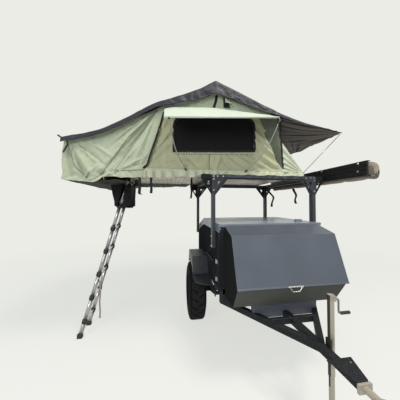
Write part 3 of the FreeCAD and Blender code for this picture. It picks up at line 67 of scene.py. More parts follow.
# Tent: planes and corner points in metres, as (y, z) where a point lies in an end wall
TENT_FRONT = 0.770
TENT_REAR = -0.630
ENDS = (("front", TENT_FRONT, 1), ("rear", TENT_REAR, -1))
FLOOR_Z = 2.017
RIDGE = (-0.617, 3.027)
BOW_RIGHT = (-1.240, 2.700)
BOW_LEFT = (0.155, 2.690)
KNEE_LEFT = (0.185, 2.430)
CORNER_LEFT = (0.500, 2.010)
CORNER_RIGHT = (-1.400, 2.010)
ANNEX_TIP = (-2.170, 2.290)
ANNEX_LOW = (-2.200, 1.890)

# Openings: the window's limits in y and z, the ladder's hatch in x and y, and the right end's door in x
WINDOW = (-1.070, -0.146, 2.232, 2.612)
WINDOW_ROUND = 0.110
WINDOW_TILT = 0.042
HATCH = (-0.090, 0.330, -1.850, -1.606)
DOOR = (-0.230, 0.400)
DOOR_TOP = 2.560

# Lines on the end walls: the awning flap's upper edge and bar, the zips, and the recessed panel's edge
FLAP_TOP = ((-1.185, 2.700), (-1.100, 2.722), (-0.900, 2.733), (-0.600, 2.739), (-0.310, 2.729),
            (-0.010, 2.716), (0.130, 2.694))
FLAP_BAR = ((-1.182, 2.464), (-0.004, 2.540))
FLAP_REACH = 0.350
ZIP_RIGHT = ((-1.192, 2.650), (-1.235, 2.480), (-1.330, 2.180), (-1.362, 2.068), (-1.407, 2.022))
ZIP_LEFT = ((0.194, 2.686), (0.206, 2.475), (0.217, 2.231), (0.232, 2.062))
PANEL_EDGE = ((-0.075, 2.663), (0.012, 2.488), (0.126, 2.264), (0.203, 2.072))
PANEL_LOW, PANEL_HIGH = 2.075, 2.660

# The recessed panel's depth, and where the walls' pleats run out from
PANEL_DEPTH = 0.062
CORNER_PLEATS = (0.545, 1.980)
BOW_PLEATS = (-1.235, 2.700)

# The wheel's middle and the radii over which the tread goes from painted shade in its grooves to its paler
# worn blocks
WHEEL_Z = 0.395
TREAD_GROOVE, TREAD_TOP = 0.384, 0.392

# The awning's flat back, the ladder's rungs and the bolts' radius
AWNING_BACK = 0.7925
FIRST_RUNG = 0.200
RUNG_PITCH = 0.293
BOLT = 0.0085


# Places, lines and folds
def at(x, y, z):
    """A place measured from the axle, the centre line and the ground, in the row frame."""
    return START + Vector((x, y, z))


def ahead(plane, way, points):
    """Places given as (distance out of an end wall's plane, y, z)."""
    return [at(plane + way * out, y, z) for out, y, z in points]


def mix(a, b, share):
    return a + (b - a) * share


def smooth_step(low, high, value):
    """0 below low, 1 above high, and a smooth rise between them."""
    t = min(max((value - low) / (high - low), 0.0), 1.0)
    return t * t * (3.0 - 2.0 * t)


def ripple(x, y, z, scale, seed=0.0):
    """Even noise from -1 to 1 whose waves are about one scale long."""
    return noise.noise(Vector((x / scale + seed, y / scale - seed, z / scale + 2.0 * seed)))


def ridged(x, y, z, scale, seed=0.0):
    """Noise with sharp crests, as crumpled cloth has: 1 on a crest and mostly above -1 between them."""
    return 1.0 - 2.6 * abs(ripple(x, y, z, scale, seed))


def fan(y, z, centre, pleats, seed=0.0):
    """Sharp pleats that run out from a centre, and the distance from it."""
    dy, dz = y - centre[0], z - centre[1]
    angle = math.atan2(dz, dy)
    far = math.hypot(dy, dz)
    return 1.0 - 2.6 * abs(noise.noise(Vector((angle * pleats, far * 1.3 + seed, seed)))), far


def crease(y, z, line, width):
    """How near a point lies to a fold's line: 1 on the line and 0 beyond its width and ends."""
    (ay, az), (by, bz) = line
    dy, dz = by - ay, bz - az
    size = dy * dy + dz * dz
    t = ((y - ay) * dy + (z - az) * dz) / size
    if t <= 0.0 or t >= 1.0:
        return 0.0
    away = abs((y - ay) * dz - (z - az) * dy) / math.sqrt(size)
    if away > 3.0 * width:
        return 0.0
    return math.exp(-(away / width) ** 1.5) * math.sin(math.pi * t) ** 0.6


def line_point(points, share):
    """The point at a share of the length of a bent line."""
    lengths = [(Vector(points[i + 1]) - Vector(points[i])).length for i in range(len(points) - 1)]
    left = share * sum(lengths)
    for i, length in enumerate(lengths):
        if left <= length or i == len(lengths) - 1:
            return Vector(points[i]).lerp(Vector(points[i + 1]), min(left / length, 1.0))
        left -= length


def line_length(points):
    """The length of a bent line."""
    return sum((Vector(b) - Vector(a)).length for a, b in zip(points, points[1:]))


def height_on(points, y):
    """The height of a bent line over y, for points in rising or falling order of y."""
    for (ya, za), (yb, zb) in zip(points, points[1:]):
        if min(ya, yb) <= y <= max(ya, yb):
            return mix(za, zb, (y - ya) / (yb - ya))
    ends = sorted(points)
    return ends[0][1] if y < ends[0][0] else ends[-1][1]


def side_on(points, z):
    """The y of a bent line of (y, z) points at height z."""
    return height_on([(height, y) for y, height in points], z)


# Meshes and pieces
def as_mesh(name, bm):
    """A mesh made from a bmesh, which is freed."""
    mesh = bpy.data.meshes.new(name)
    bm.to_mesh(mesh)
    bm.free()
    return mesh


def take_in(bm, mesh):
    """Adds a mesh to a bmesh and removes the mesh."""
    bm.from_mesh(mesh)
    bpy.data.meshes.remove(mesh)


def placed(name, data):
    """A new object in the scene that shows the data."""
    made = bpy.data.objects.new(name, data)
    bpy.context.scene.collection.objects.link(made)
    return made


def applied_mesh(piece):
    """A mesh with the object's modifiers or its curve's thickness applied."""
    bpy.context.view_layer.update()
    graph = bpy.context.evaluated_depsgraph_get()
    return bpy.data.meshes.new_from_object(piece.evaluated_get(graph))


def new_piece(name, bm, finishes, body="frame", smooth=True):
    """A mesh object from a bmesh, with its materials, riding on a body."""
    mesh = as_mesh(name, bm)
    piece = placed(name, mesh)
    for finish in finishes:
        mesh.materials.append(finish)
    mesh.polygons.foreach_set("use_smooth", [smooth] * len(mesh.polygons))
    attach(piece, body)
    return piece


def settle(piece):
    """Applies the piece's modifiers to its mesh."""
    mesh = applied_mesh(piece)
    piece.modifiers.clear()
    piece.data = mesh
    return piece


def grid(columns, rows, surface):
    """A grid whose corners follow surface(u, v), with u and v from 0 to 1, and with its UV map."""
    bm = bmesh.new()
    uv_layer = bm.loops.layers.uv.new("UVMap")
    bmesh.ops.create_grid(bm, x_segments=columns, y_segments=rows, size=0.5, calc_uvs=True)
    for loop_face in bm.faces:
        for loop in loop_face.loops:
            loop[uv_layer].uv = (loop.vert.co.x + 0.5, loop.vert.co.y + 0.5)
    for vert in bm.verts:
        vert.co = surface(vert.co.x + 0.5, vert.co.y + 0.5)
    bmesh.ops.remove_doubles(bm, verts=bm.verts, dist=0.0002)
    return bm


def facing(bm, direction):
    """Turns the faces so that they point to one side on the whole."""
    total = Vector()
    for face in bm.faces:
        face.normal_update()
        total += face.normal * face.calc_area()
    if total.dot(Vector(direction)) < 0:
        bmesh.ops.reverse_faces(bm, faces=bm.faces)
    return bm


def split(bm, point, normal):
    """Cuts the mesh along a plane and keeps both sides."""
    geom = list(bm.verts) + list(bm.edges) + list(bm.faces)
    bmesh.ops.bisect_plane(bm, geom=geom, dist=0.0001, plane_co=point, plane_no=normal)


def cut_out(bm, inside):
    """Deletes the faces whose middle, measured from the start point, lies inside."""
    gone = [face for face in bm.faces if inside(face.calc_center_median() - START)]
    bmesh.ops.delete(bm, geom=gone, context="FACES")


def cloth(name, bm, outside, finishes, thickness=0.002, body="frame"):
    """A sheet of cloth with its thickness on the inner side."""
    facing(bm, outside)
    piece = new_piece(name, bm, finishes, body)
    wall = piece.modifiers.new("Thickness", "SOLIDIFY")
    wall.thickness = thickness
    wall.offset = -1.0
    if len(finishes) > 1:
        wall.material_offset = 1
        wall.material_offset_rim = 0
    return settle(piece)


def canvas_sheet(name, bm, outside, outer="canvas"):
    """Tent canvas with its darker inner side."""
    return cloth(name, bm, outside, [FINISH[outer], FINISH["canvas_in"]])


def ribbon(points, width, side, columns=2):
    """A flat band along a line of points. side(i) gives the direction across it at point i."""
    last = len(points) - 1

    def surface(u, v):
        place = u * last
        i = min(int(place), last - 1)
        share = place - i
        across = side(i).lerp(side(i + 1), share).normalized()
        return points[i].lerp(points[i + 1], share) + across * (v - 0.5) * width

    return grid(last, columns, surface)


def band(name, points, width, side, outside, finish, thickness=0.002, body="frame"):
    """Webbing or tape along a line of points in the row frame."""
    return cloth(name, ribbon(points, width, side), outside, [finish], thickness, body)


def bars(bm, runs, radius, segments=10):
    """Adds a round bar for each pair of end points."""
    for start, end in runs:
        way = end - start
        turn = way.to_track_quat("Z", "Y").to_matrix().to_4x4()
        spot = Matrix.Translation(start.lerp(end, 0.5)) @ turn
        bmesh.ops.create_cone(bm, cap_ends=True, segments=segments, radius1=radius, radius2=radius,
                              depth=way.length, matrix=spot)


def round_edges(bm, edges, radius, segments):
    bmesh.ops.bevel(bm, geom=edges, offset=radius, affect="EDGES", segments=segments, profile=0.5,
                    material=-1)


def block(bm, low, high, bevel=0.0, segments=2):
    """Adds a box between two corners, with rounded edges."""
    middle = (low + high) / 2
    spot = Matrix.Translation(middle) @ Matrix.Diagonal((*(high - low), 1.0))
    made = bmesh.ops.create_cube(bm, size=1.0, matrix=spot)
    if bevel:
        edges = list({edge for vert in made["verts"] for edge in vert.link_edges})
        round_edges(bm, edges, bevel, segments)


def bolt_heads(bm, places, radius=0.009):
    """Adds a washer and a hexagon head at each place, given as (point, outward direction)."""
    for point, outward in places:
        turn = Vector(outward).to_track_quat("Z", "Y").to_matrix().to_4x4()
        for size, low, high, sides in ((radius * 1.35, -0.0005, 0.0018, 18), (radius, 0.0015, 0.0075, 6)):
            spot = Matrix.Translation(point) @ turn @ Matrix.Translation((0, 0, (low + high) / 2))
            bmesh.ops.create_cone(bm, cap_ends=True, segments=sides, radius1=size, radius2=size * 0.9,
                                  depth=high - low, matrix=spot)


def tubes(name, runs, radius, finish, body="frame", round_bends=True):
    """Round rods or cords along smooth lines, as one mesh."""
    line = bpy.data.curves.new(name, "CURVE")
    line.dimensions = "3D"
    line.bevel_depth = radius
    line.bevel_resolution = 3
    line.use_fill_caps = True
    for points in runs:
        spline = line.splines.new("NURBS" if round_bends else "POLY")
        spline.points.add(len(points) - 1)
        for i, point in enumerate(points):
            spline.points[i].co = (*point, 1.0)
        if round_bends:
            spline.order_u = 3
            spline.use_endpoint_u = True
            spline.resolution_u = 6
    holder = placed(name + "_line", line)
    bm = bmesh.new()
    take_in(bm, applied_mesh(holder))
    bpy.data.objects.remove(holder)
    bpy.data.curves.remove(line)
    bmesh.ops.remove_doubles(bm, verts=bm.verts, dist=0.00002)
    bmesh.ops.recalc_face_normals(bm, faces=bm.faces)
    return new_piece(name, bm, [finish], body)


# Finishes
class Nodes:
    """A node tree that is built up by short calls."""

    def __init__(self, tree):
        self.tree = tree

    def node(self, kind, values=(), **settings):
        """A new node with its settings, and with each input linked or set."""
        made = self.tree.nodes.new(kind)
        for key, value in settings.items():
            setattr(made, key, value)
        for key, value in dict(values).items():
            if isinstance(value, bpy.types.NodeSocket):
                self.tree.links.new(value, made.inputs[key])
            else:
                made.inputs[key].default_value = value
        return made

    def sums(self, operation, a, b):
        return self.node("ShaderNodeMath", {0: a, 1: b}, operation=operation).outputs[0]

    def show(self, share, a, b, output):
        """Sends a mix of two shaders to the tree's output."""
        both = self.node("ShaderNodeMixShader", {0: share, 1: a, 2: b})
        self.tree.links.new(both.outputs[0], self.tree.nodes[output].inputs["Surface"])


class Finish(Nodes):
    """A node material that is built up from what its surface shows."""

    def __init__(self, name, roughness, metallic=0.0, specular=0.5, sheen=0.0):
        self.material = bpy.data.materials.new(name)
        self.material.use_nodes = True
        super().__init__(self.material.node_tree)
        self.shader = self.tree.nodes["Principled BSDF"]
        self.shader.inputs["Roughness"].default_value = roughness
        self.shader.inputs["Metallic"].default_value = metallic
        self.shader.inputs["Specular IOR Level"].default_value = specular
        self.shader.inputs["Sheen Weight"].default_value = sheen
        self.places = self.node("ShaderNodeTexCoord").outputs["Object"]

    def spread(self, stretch, turn=(0.0, 0.0, 0.0), source=None):
        """Coordinates that are stretched and turned."""
        values = {"Vector": source or self.places, "Scale": stretch, "Rotation": turn}
        return self.node("ShaderNodeMapping", values).outputs[0]

    def grain(self, scale, detail=3.0, places=None, rough=0.5):
        values = {"Vector": places or self.places, "Scale": scale, "Detail": detail, "Roughness": rough}
        return self.node("ShaderNodeTexNoise", values).outputs[0]

    def waves(self, axis, scale, distortion=0.0, places=None):
        """Soft bands that follow one another along an axis."""
        values = {"Vector": places or self.places, "Scale": scale, "Distortion": distortion}
        return self.node("ShaderNodeTexWave", values, bands_direction=axis).outputs[1]

    def reach(self, value, low, high, to_low=0.0, to_high=1.0, **settings):
        """A value's range carried over to another range, and held there."""
        values = {"Value": value, "From Min": low, "From Max": high, "To Min": to_low, "To Max": to_high}
        return self.node("ShaderNodeMapRange", values, **settings).outputs[0]

    def blend(self, share, a, b, kind="MIX"):
        made = self.node("ShaderNodeMix", {0: share, 6: a, 7: b}, data_type="RGBA", blend_type=kind)
        return made.outputs[2]

    def colour(self, socket):
        self.tree.links.new(socket, self.shader.inputs["Base Color"])

    def roughness(self, socket):
        self.tree.links.new(socket, self.shader.inputs["Roughness"])

    def overlay(self, low, high, colour, roughness, metallic):
        """Another finish inside a box, given from the trailer's own start point."""
        parts = self.node("ShaderNodeSeparateXYZ", {0: self.places}).outputs
        mask = None
        for axis, (a, b) in enumerate(zip(at(*low), at(*high))):
            for operation, limit in (("GREATER_THAN", a), ("LESS_THAN", b)):
                side = self.sums(operation, parts[axis], limit)
                mask = side if mask is None else self.sums("MULTIPLY", mask, side)
        inputs = self.shader.inputs
        varied = self.blend(self.grain(30.0, 4.0), shade(colour, 0.8), shade(colour, 1.15))
        self.colour(self.blend(mask, inputs["Base Color"].links[0].from_socket, varied))
        if inputs["Roughness"].is_linked:
            before = inputs["Roughness"].links[0].from_socket
        else:
            before = inputs["Roughness"].default_value
        self.roughness(self.node("ShaderNodeMix", {0: mask, 2: before, 3: roughness}).outputs[0])
        self.tree.links.new(self.sums("MULTIPLY", mask, metallic), inputs["Metallic"])

    def bump(self, height, distance, strength=1.0, under=None):
        values = {"Height": height, "Distance": distance, "Strength": strength}
        if under:
            values["Normal"] = under
        made = self.node("ShaderNodeBump", values).outputs[0]
        self.tree.links.new(made, self.shader.inputs["Normal"])
        return made


def shade(colour, factor):
    return (colour[0] * factor, colour[1] * factor, colour[2] * factor, 1.0)


def paint(name, colour, roughness, specular, dust=0.25, worn=0.35, peel=0.0006):
    """Satin paint on sheet metal with a fine peel, faint dust, uneven gloss and rounded, worn edges."""
    finish = Finish(name, roughness, specular=specular)
    cloudy = finish.grain(3.0, 4.0)
    fine = finish.grain(60.0, 5.0, rough=0.65)
    dusty = finish.reach(fine, 0.52, 0.78, 0.0, dust)
    base = finish.blend(cloudy, shade(colour, 0.86), shade(colour, 1.14))
    base = finish.blend(dusty, base, (0.16, 0.15, 0.13, 1.0))
    rounded = finish.node("ShaderNodeBevel", {"Radius": 0.0035}, samples=4).outputs[0]
    flat = finish.node("ShaderNodeNewGeometry").outputs["Normal"]
    alike = finish.node("ShaderNodeVectorMath", {0: rounded, 1: flat}, operation="DOT_PRODUCT")
    edges = finish.sums("MULTIPLY", finish.reach(alike.outputs["Value"], 0.985, 0.90, 0.0, worn),
                        finish.reach(finish.grain(18.0, 4.0), 0.35, 0.60))
    finish.colour(finish.blend(edges, base, (0.30, 0.31, 0.32, 1.0)))
    finish.roughness(finish.reach(cloudy, 0.3, 0.7, roughness - 0.06, roughness + 0.08))
    finish.bump(finish.grain(380.0, 1.0), peel, 0.35, rounded)
    return finish


def metal(name, colour, roughness, stretch=(4.0, 4.0, 60.0), stain=(0.2, 0.17, 0.12, 1.0)):
    """Bare metal with drawn lines, smudges and darker stains."""
    finish = Finish(name, roughness, metallic=1.0)
    lines = finish.grain(14.0, 4.0, finish.spread(stretch), 0.6)
    smudge = finish.grain(7.0, 4.0)
    base = finish.blend(lines, shade(colour, 0.8), shade(colour, 1.1))
    finish.colour(finish.blend(finish.reach(smudge, 0.50, 0.75, 0.0, 0.55), base, stain))
    finish.roughness(finish.reach(smudge, 0.3, 0.75, roughness - 0.08, roughness + 0.16))
    finish.bump(lines, 0.0004, 0.3)
    return finish


def checker_plate(name, colour, pitch=0.046):
    """Tread plate: a raised lattice painted lighter as a painted highlight, over hollows painted darker as
    painted shade, with dusty smudges.
    """
    finish = Finish(name, 0.38, metallic=0.6)
    lines = []
    for turn in (45.0, -45.0):
        turned = finish.spread((1.0, 1.0, 1.0), (0.0, 0.0, math.radians(turn)))
        lines.append(finish.waves("X", 0.314 / pitch, 0.6, turned))
    raised = finish.reach(finish.sums("MAXIMUM", lines[0], lines[1]), 0.60, 0.92)
    smudge = finish.grain(6.0, 5.0)
    # Painted highlight on the raised lattice and painted shade in the hollows between it.
    base = finish.blend(raised, shade(colour, 0.10), shade(colour, 1.35))
    finish.colour(finish.blend(finish.reach(smudge, 0.45, 0.75, 0.0, 0.5), base, (0.10, 0.08, 0.055, 1.0)))
    finish.roughness(finish.reach(smudge, 0.3, 0.7, 0.28, 0.5))
    finish.bump(raised, 0.0014, 0.9)
    return finish


def canvas(name, colour, weave=700.0, crinkle=0.3, sheen=0.15, roughness=0.85, mottle=0.12):
    """Woven cloth: threads, fine crinkles and soft changes of colour."""
    finish = Finish(name, roughness, specular=0.25, sheen=sheen)
    patches = finish.grain(2.2, 4.0)
    fine = finish.grain(45.0, 4.0, rough=0.7)
    base = finish.blend(patches, shade(colour, 1.0 - mottle), shade(colour, 1.0 + mottle))
    base = finish.blend(finish.reach(fine, 0.35, 0.7, 0.0, 0.5), base, shade(colour, 0.82))
    finish.colour(base)
    woven = finish.sums("MULTIPLY", finish.waves("Y", weave / 6.0, 0.4), finish.waves("Z", weave / 6.0, 0.4))
    crumple = finish.bump(finish.grain(26.0, 6.0, rough=0.6), 0.006, crinkle)
    finish.bump(woven, 0.0005, 0.5, crumple)
    return finish


def canvas_with_painted_fold_shade(name, colour, tips, dark):
    """The fly's inner side: woven cloth with dark bands of painted shade, as between its folds, that run out
    of its drawn corners.
    """
    finish = canvas(name, colour, 500.0, 0.6, 0.1, 0.85, 0.2)
    base = finish.shader.inputs["Base Color"].links[0].from_socket
    parts = finish.node("ShaderNodeSeparateXYZ", {0: finish.places}).outputs
    for x, y in tips:
        dx = finish.sums("SUBTRACT", parts[0], x)
        dy = finish.sums("SUBTRACT", parts[1], y)
        angle = finish.sums("ARCTAN2", dx, dy)
        place = finish.node("ShaderNodeCombineXYZ", {0: finish.sums("MULTIPLY", angle, 5.0)}).outputs[0]
        # Dark bands of painted shade that fan out from each drawn corner.
        fold_shade_bands = finish.grain(2.2, 5.0, place, 0.6)
        near = finish.reach(finish.sums("ABSOLUTE", dx, 0.0), 0.95, 0.60)
        share = finish.sums("MULTIPLY", finish.reach(fold_shade_bands, 0.48, 0.57), near)
        base = finish.blend(share, base, shade(dark, 1.0))
    finish.colour(base)
    return finish


def rubber(name, colour):
    """Tyre rubber: grooves darkened as painted shade, paler worn tread blocks and a little dust."""
    finish = Finish(name, 0.78, specular=0.06)
    cloudy = finish.grain(9.0, 5.0, rough=0.6)
    parts = finish.node("ShaderNodeSeparateXYZ", {0: finish.places}).outputs
    axle = at(0.0, 0.0, WHEEL_Z)
    across = finish.sums("SUBTRACT", parts[0], axle.x)
    up = finish.sums("SUBTRACT", parts[2], axle.z)
    span = finish.sums("ADD", finish.sums("MULTIPLY", across, across), finish.sums("MULTIPLY", up, up))
    # Painted shade darkens the grooves, and wear makes the tread blocks' tops paler, by the distance from the
    # axle.
    worn = finish.reach(finish.sums("POWER", span, 0.5), TREAD_GROOVE, TREAD_TOP, 0.35, 2.6)
    base = finish.blend(cloudy, shade(colour, 0.8), shade(colour, 1.3))
    base = finish.blend(1.0, base, worn, "MULTIPLY")
    dust = finish.reach(finish.grain(40.0, 4.0), 0.5, 0.8, 0.0, 0.3)
    finish.colour(finish.blend(dust, base, (0.045, 0.041, 0.036, 1.0)))
    finish.bump(finish.grain(300.0, 3.0), 0.0006, 0.5)
    return finish


def moulded(name, colour, roughness=0.5):
    """Grained plastic with a faint unevenness."""
    finish = Finish(name, roughness, specular=0.4)
    finish.colour(finish.blend(finish.grain(8.0, 3.0), shade(colour, 0.85), shade(colour, 1.15)))
    finish.bump(finish.grain(420.0, 2.0), 0.0004, 0.5)
    return finish


def lens(name, colour):
    """A ribbed lamp lens, its ribs painted lighter and darker as painted highlight and shade."""
    finish = Finish(name, 0.18)
    finish.shader.inputs["Coat Weight"].default_value = 0.6
    ribs = finish.waves("Z", 45.0)
    # Painted highlight and shade along the ribs.
    finish.colour(finish.blend(ribs, shade(colour, 0.55), shade(colour, 1.25)))
    finish.bump(ribs, 0.0012, 0.7)
    return finish


def insect_net(name, colour):
    """Black net: a fine mesh of threads over darkness."""
    finish = Finish(name, 0.75, specular=0.15)
    mesh = finish.sums("MAXIMUM", finish.waves("Y", 160.0), finish.waves("Z", 160.0))
    finish.colour(finish.blend(mesh, shade(colour, 0.5), shade(colour, 2.2)))
    finish.bump(mesh, 0.0006, 0.5)
    return finish


# The fly's two drawn corners, as x and y in the row frame
FLY_TIPS = [(START.x + 0.83, START.y + 1.06), (START.x - 0.69, START.y + 1.28)]

# The materials by name, which make_finishes fills
FINISH = {}


def make_finishes(colours):
    """All finishes of the trailer, by name."""
    made = {
        "slate": paint("slate_paint", colours.body, 0.60, 0.0, 0.14),
        "trim": paint("trim_black", (0.012, 0.013, 0.014), 0.5, 0.08, 0.2, 0.7),
        # Painted light: the top lid has the lids' paint made much lighter than the nose lid's, for the bright
        # sky on its top.
        "lid": paint("lid_paint", shade(colours.lid, 1.9)[:3], 0.30, 0.45, 0.10, 0.35, 0.0001),
        "nose_lid": paint("nose_lid_paint", shade(colours.lid, 0.86)[:3], 0.40, 0.32, 0.12),
        "nose": paint("nose_paint", colours.nose, 0.55, 0.0, 0.15),
        "fender": paint("fender_paint", colours.fender, 0.40, 0.35, 0.25, 0.5),
        "black": paint("black_paint", colours.frame, 0.55, 0.07, 0.25, 0.3),
        "cross": paint("cross_paint", colours.frame, 0.5, 0.10, 0.25, 0.4),
        "post": paint("post_paint", colours.rack, 0.48, 0.22, 0.18, 0.6),
        "zinc": metal("zinc", (0.34, 0.31, 0.245), 0.26, stain=(0.045, 0.039, 0.03, 1.0)),
        "steel": metal("bright_steel", (0.46, 0.46, 0.45), 0.32),
        "rod": metal("rod_steel", (0.36, 0.36, 0.36), 0.42),
        "aluminium": metal("aluminium", (0.44, 0.44, 0.44), 0.36, stain=(0.10, 0.09, 0.08, 1.0)),
        "awning": paint("awning_black", (0.010, 0.010, 0.011), 0.45, 0.2, 0.1, 0.2),
        "plate": checker_plate("tread_plate", (0.46, 0.395, 0.31), 0.085),
        "rubber": rubber("tyre_rubber", (0.0065, 0.0065, 0.0065)),
        "canvas": canvas("canvas_sage", colours.canvas),
        # The end walls' canvas: an olive tone as painted shade under the window awnings, with lighter painted
        # areas added in second_finishes.
        "canvas_wall_painted_light_and_shade": canvas("canvas_wall_painted_light_and_shade", (0.370, 0.370, 0.235)),
        # A lighter copy of the canvas for the window awnings and their hems: painted light from above.
        "canvas_lit": canvas("canvas_painted_lit", (0.44, 0.49, 0.40), mottle=0.16),
        "canvas_in": canvas("canvas_inside", shade(colours.canvas, 0.50)[:3]),
        # A darker copy of the canvas for the recessed panel: painted shade.
        "canvas_painted_shade": canvas("canvas_recess_painted_shade", shade(colours.canvas, 0.36)[:3]),
        "fly": canvas("fly_charcoal", colours.fly, 500.0, 0.9, 0.04, 0.48, 0.45),
        "fly_in": canvas_with_painted_fold_shade("fly_inside", colours.fly_inside, FLY_TIPS, (0.012, 0.011, 0.011)),
        "black_cloth": canvas("black_cloth", (0.009, 0.009, 0.010), 600.0, 0.5, 0.05, 0.9, 0.3),
        "floor_cloth": canvas("floor_cloth", (0.016, 0.017, 0.011), 500.0, 0.6, 0.05, 0.8, 0.4),
        "webbing": canvas("webbing_black", (0.012, 0.012, 0.012), 900.0, 0.1, 0.05, 0.8, 0.2),
        "net": insect_net("window_net", (0.0035, 0.0035, 0.0035)),
        "bag": canvas("bag_taupe", colours.bag, 500.0, 0.4, 0.1, 0.85, 0.2),
        "lamps": lens("lamp_lens", (0.42, 0.015, 0.012)),
        "gusset": paint("gusset_paint", colours.rack, 0.48, 0.12, 0.18, 0.7),
        "beam": paint("beam_paint", (0.066, 0.073, 0.092), 0.45, 0.22, 0.18, 0.6),
        "tread": metal("rung_tread", (0.80, 0.80, 0.80), 0.40),
        "plastic": moulded("grip_black", (0.016, 0.016, 0.017)),
        "crank": moulded("crank_grip", (0.016, 0.016, 0.017)),
    }
    second_finishes(made)
    FINISH.update({key: finish.material for key, finish in made.items()})


def second_finishes(made):
    """Boxes of another finish on one CAD node: second metals and colours, and painted light and shade."""
    made["nose_lid"].overlay((1.3988, -0.075, 0.840), (1.450, 0.075, 0.905), (0.42, 0.42, 0.42), 0.34, 1.0)
    made["crank"].overlay((1.0, -0.2, 0.5), (2.2, 0.1385, 1.1), (0.26, 0.25, 0.23), 0.36, 1.0)
    made["lamps"].overlay((0.0, -1.0, 0.0), (1.0, 1.0, 1.5), (0.34, 0.17, 0.045), 0.3, 0.0)
    # Painted light: the cross plate under the nose's front edge is lighter than the rest of the cross
    # members, though the nose shades it.
    made["cross"].overlay((1.155, -0.4, 0.5), (1.215, 0.4, 0.8), (0.085, 0.092, 0.110), 0.42, 0.0)
    # Painted shade: the nose box's side cheeks are darker than its front and lower panel, which have the same
    # paint.
    made["nose"].overlay((0.9, 0.538, 0.5), (1.5, 0.60, 1.5), (0.013, 0.014, 0.014), 0.6, 0.0)
    made["nose"].overlay((0.9, -0.60, 0.5), (1.5, -0.538, 1.5), (0.017, 0.018, 0.017), 0.6, 0.0)
    # Painted shade: one flank of the jack's tube is darker.
    made["zinc"].overlay((1.70, -0.10, 0.3), (1.83, 0.0390, 1.1), (0.040, 0.036, 0.028), 0.4, 0.6)
    # Painted shade: the beams' and gussets' outer ends are near-black.
    for low, high in ((-0.80, -0.654), (0.654, 0.80)):
        made["beam"].overlay((-0.8, low, 1.90), (0.8, high, 2.0), (0.009, 0.010, 0.011), 0.55, 0.0)
        made["gusset"].overlay((-0.8, low, 1.70), (0.8, high, 2.0), (0.009, 0.010, 0.011), 0.55, 0.0)
    # The beams are darker along their lower edge between the posts.
    made["beam"].overlay((-0.8, -0.654, 1.90), (0.8, 0.654, 1.943), (0.010, 0.011, 0.012), 0.55, 0.0)
    # Painted light on the end walls' canvas: lighter above the window awning, along the bottom, and on the
    # pleated corner beyond the left zip.
    made["canvas_wall_painted_light_and_shade"].overlay((-1.0, -1.5, 2.715), (1.0, 0.6, 3.2), (0.375, 0.415, 0.300), 0.85, 0.0)
    made["canvas_wall_painted_light_and_shade"].overlay((-1.0, -1.5, 1.80), (1.0, 0.6, 2.024), (0.440, 0.455, 0.320), 0.85, 0.0)
    made["canvas_wall_painted_light_and_shade"].overlay((-1.0, 0.22, 2.024), (1.0, 0.6, 2.715), (0.440, 0.475, 0.350), 0.85, 0.0)


# Which finish each CAD node has
CAD_FINISH = {
    "slate": ("tub", "tailgate", "door_right", "door_left"),
    "trim": ("door_trim_right", "door_trim_left", "tailgate_trim"),
    "nose": ("nose_box",),
    "lid": ("top_lid",),
    "nose_lid": ("nose_lid",),
    "fender": ("fender_right", "fender_left"),
    "cross": ("cross_members",),
    "black": ("frame_rails", "drawbar_spine", "axle", "leaf_spring_right", "leaf_spring_left",
              "spring_mounts_right", "spring_mounts_left", "wheel_right", "wheel_left"),
    "post": ("rack_posts",),
    "gusset": ("rack_gussets",),
    "beam": ("rack_beams",),
    "zinc": ("coupling", "jack_body", "jack_leg"),
    "steel": ("door_hinges",),
    "rod": ("tent_rods",),
    "aluminium": ("tent_bows", "ladder_rails", "ladder_rungs"),
    "awning": ("awning_case",),
    "plate": ("base_fixed", "base_fold"),
    "rubber": ("tyre_right", "tyre_left"),
    "canvas": ("canopy_front", "canopy_rear", "canopy_roof", "canopy_ends", "annex_walls", "window_flap"),
    "fly": ("fly_sheet",),
    "black_cloth": ("annex_floor", "ladder_skirt"),
    "net": ("window_mesh",),
    "bag": ("awning_bag",),
    "lamps": ("lamps",),
    "crank": ("jack_crank",),
}


def finish_frame():
    """Gives every CAD node its finish."""
    for key, names in CAD_FINISH.items():
        for name in names:
            mesh = frame["nodes"][name].data
            mesh.materials.clear()
            mesh.materials.append(FINISH[key])


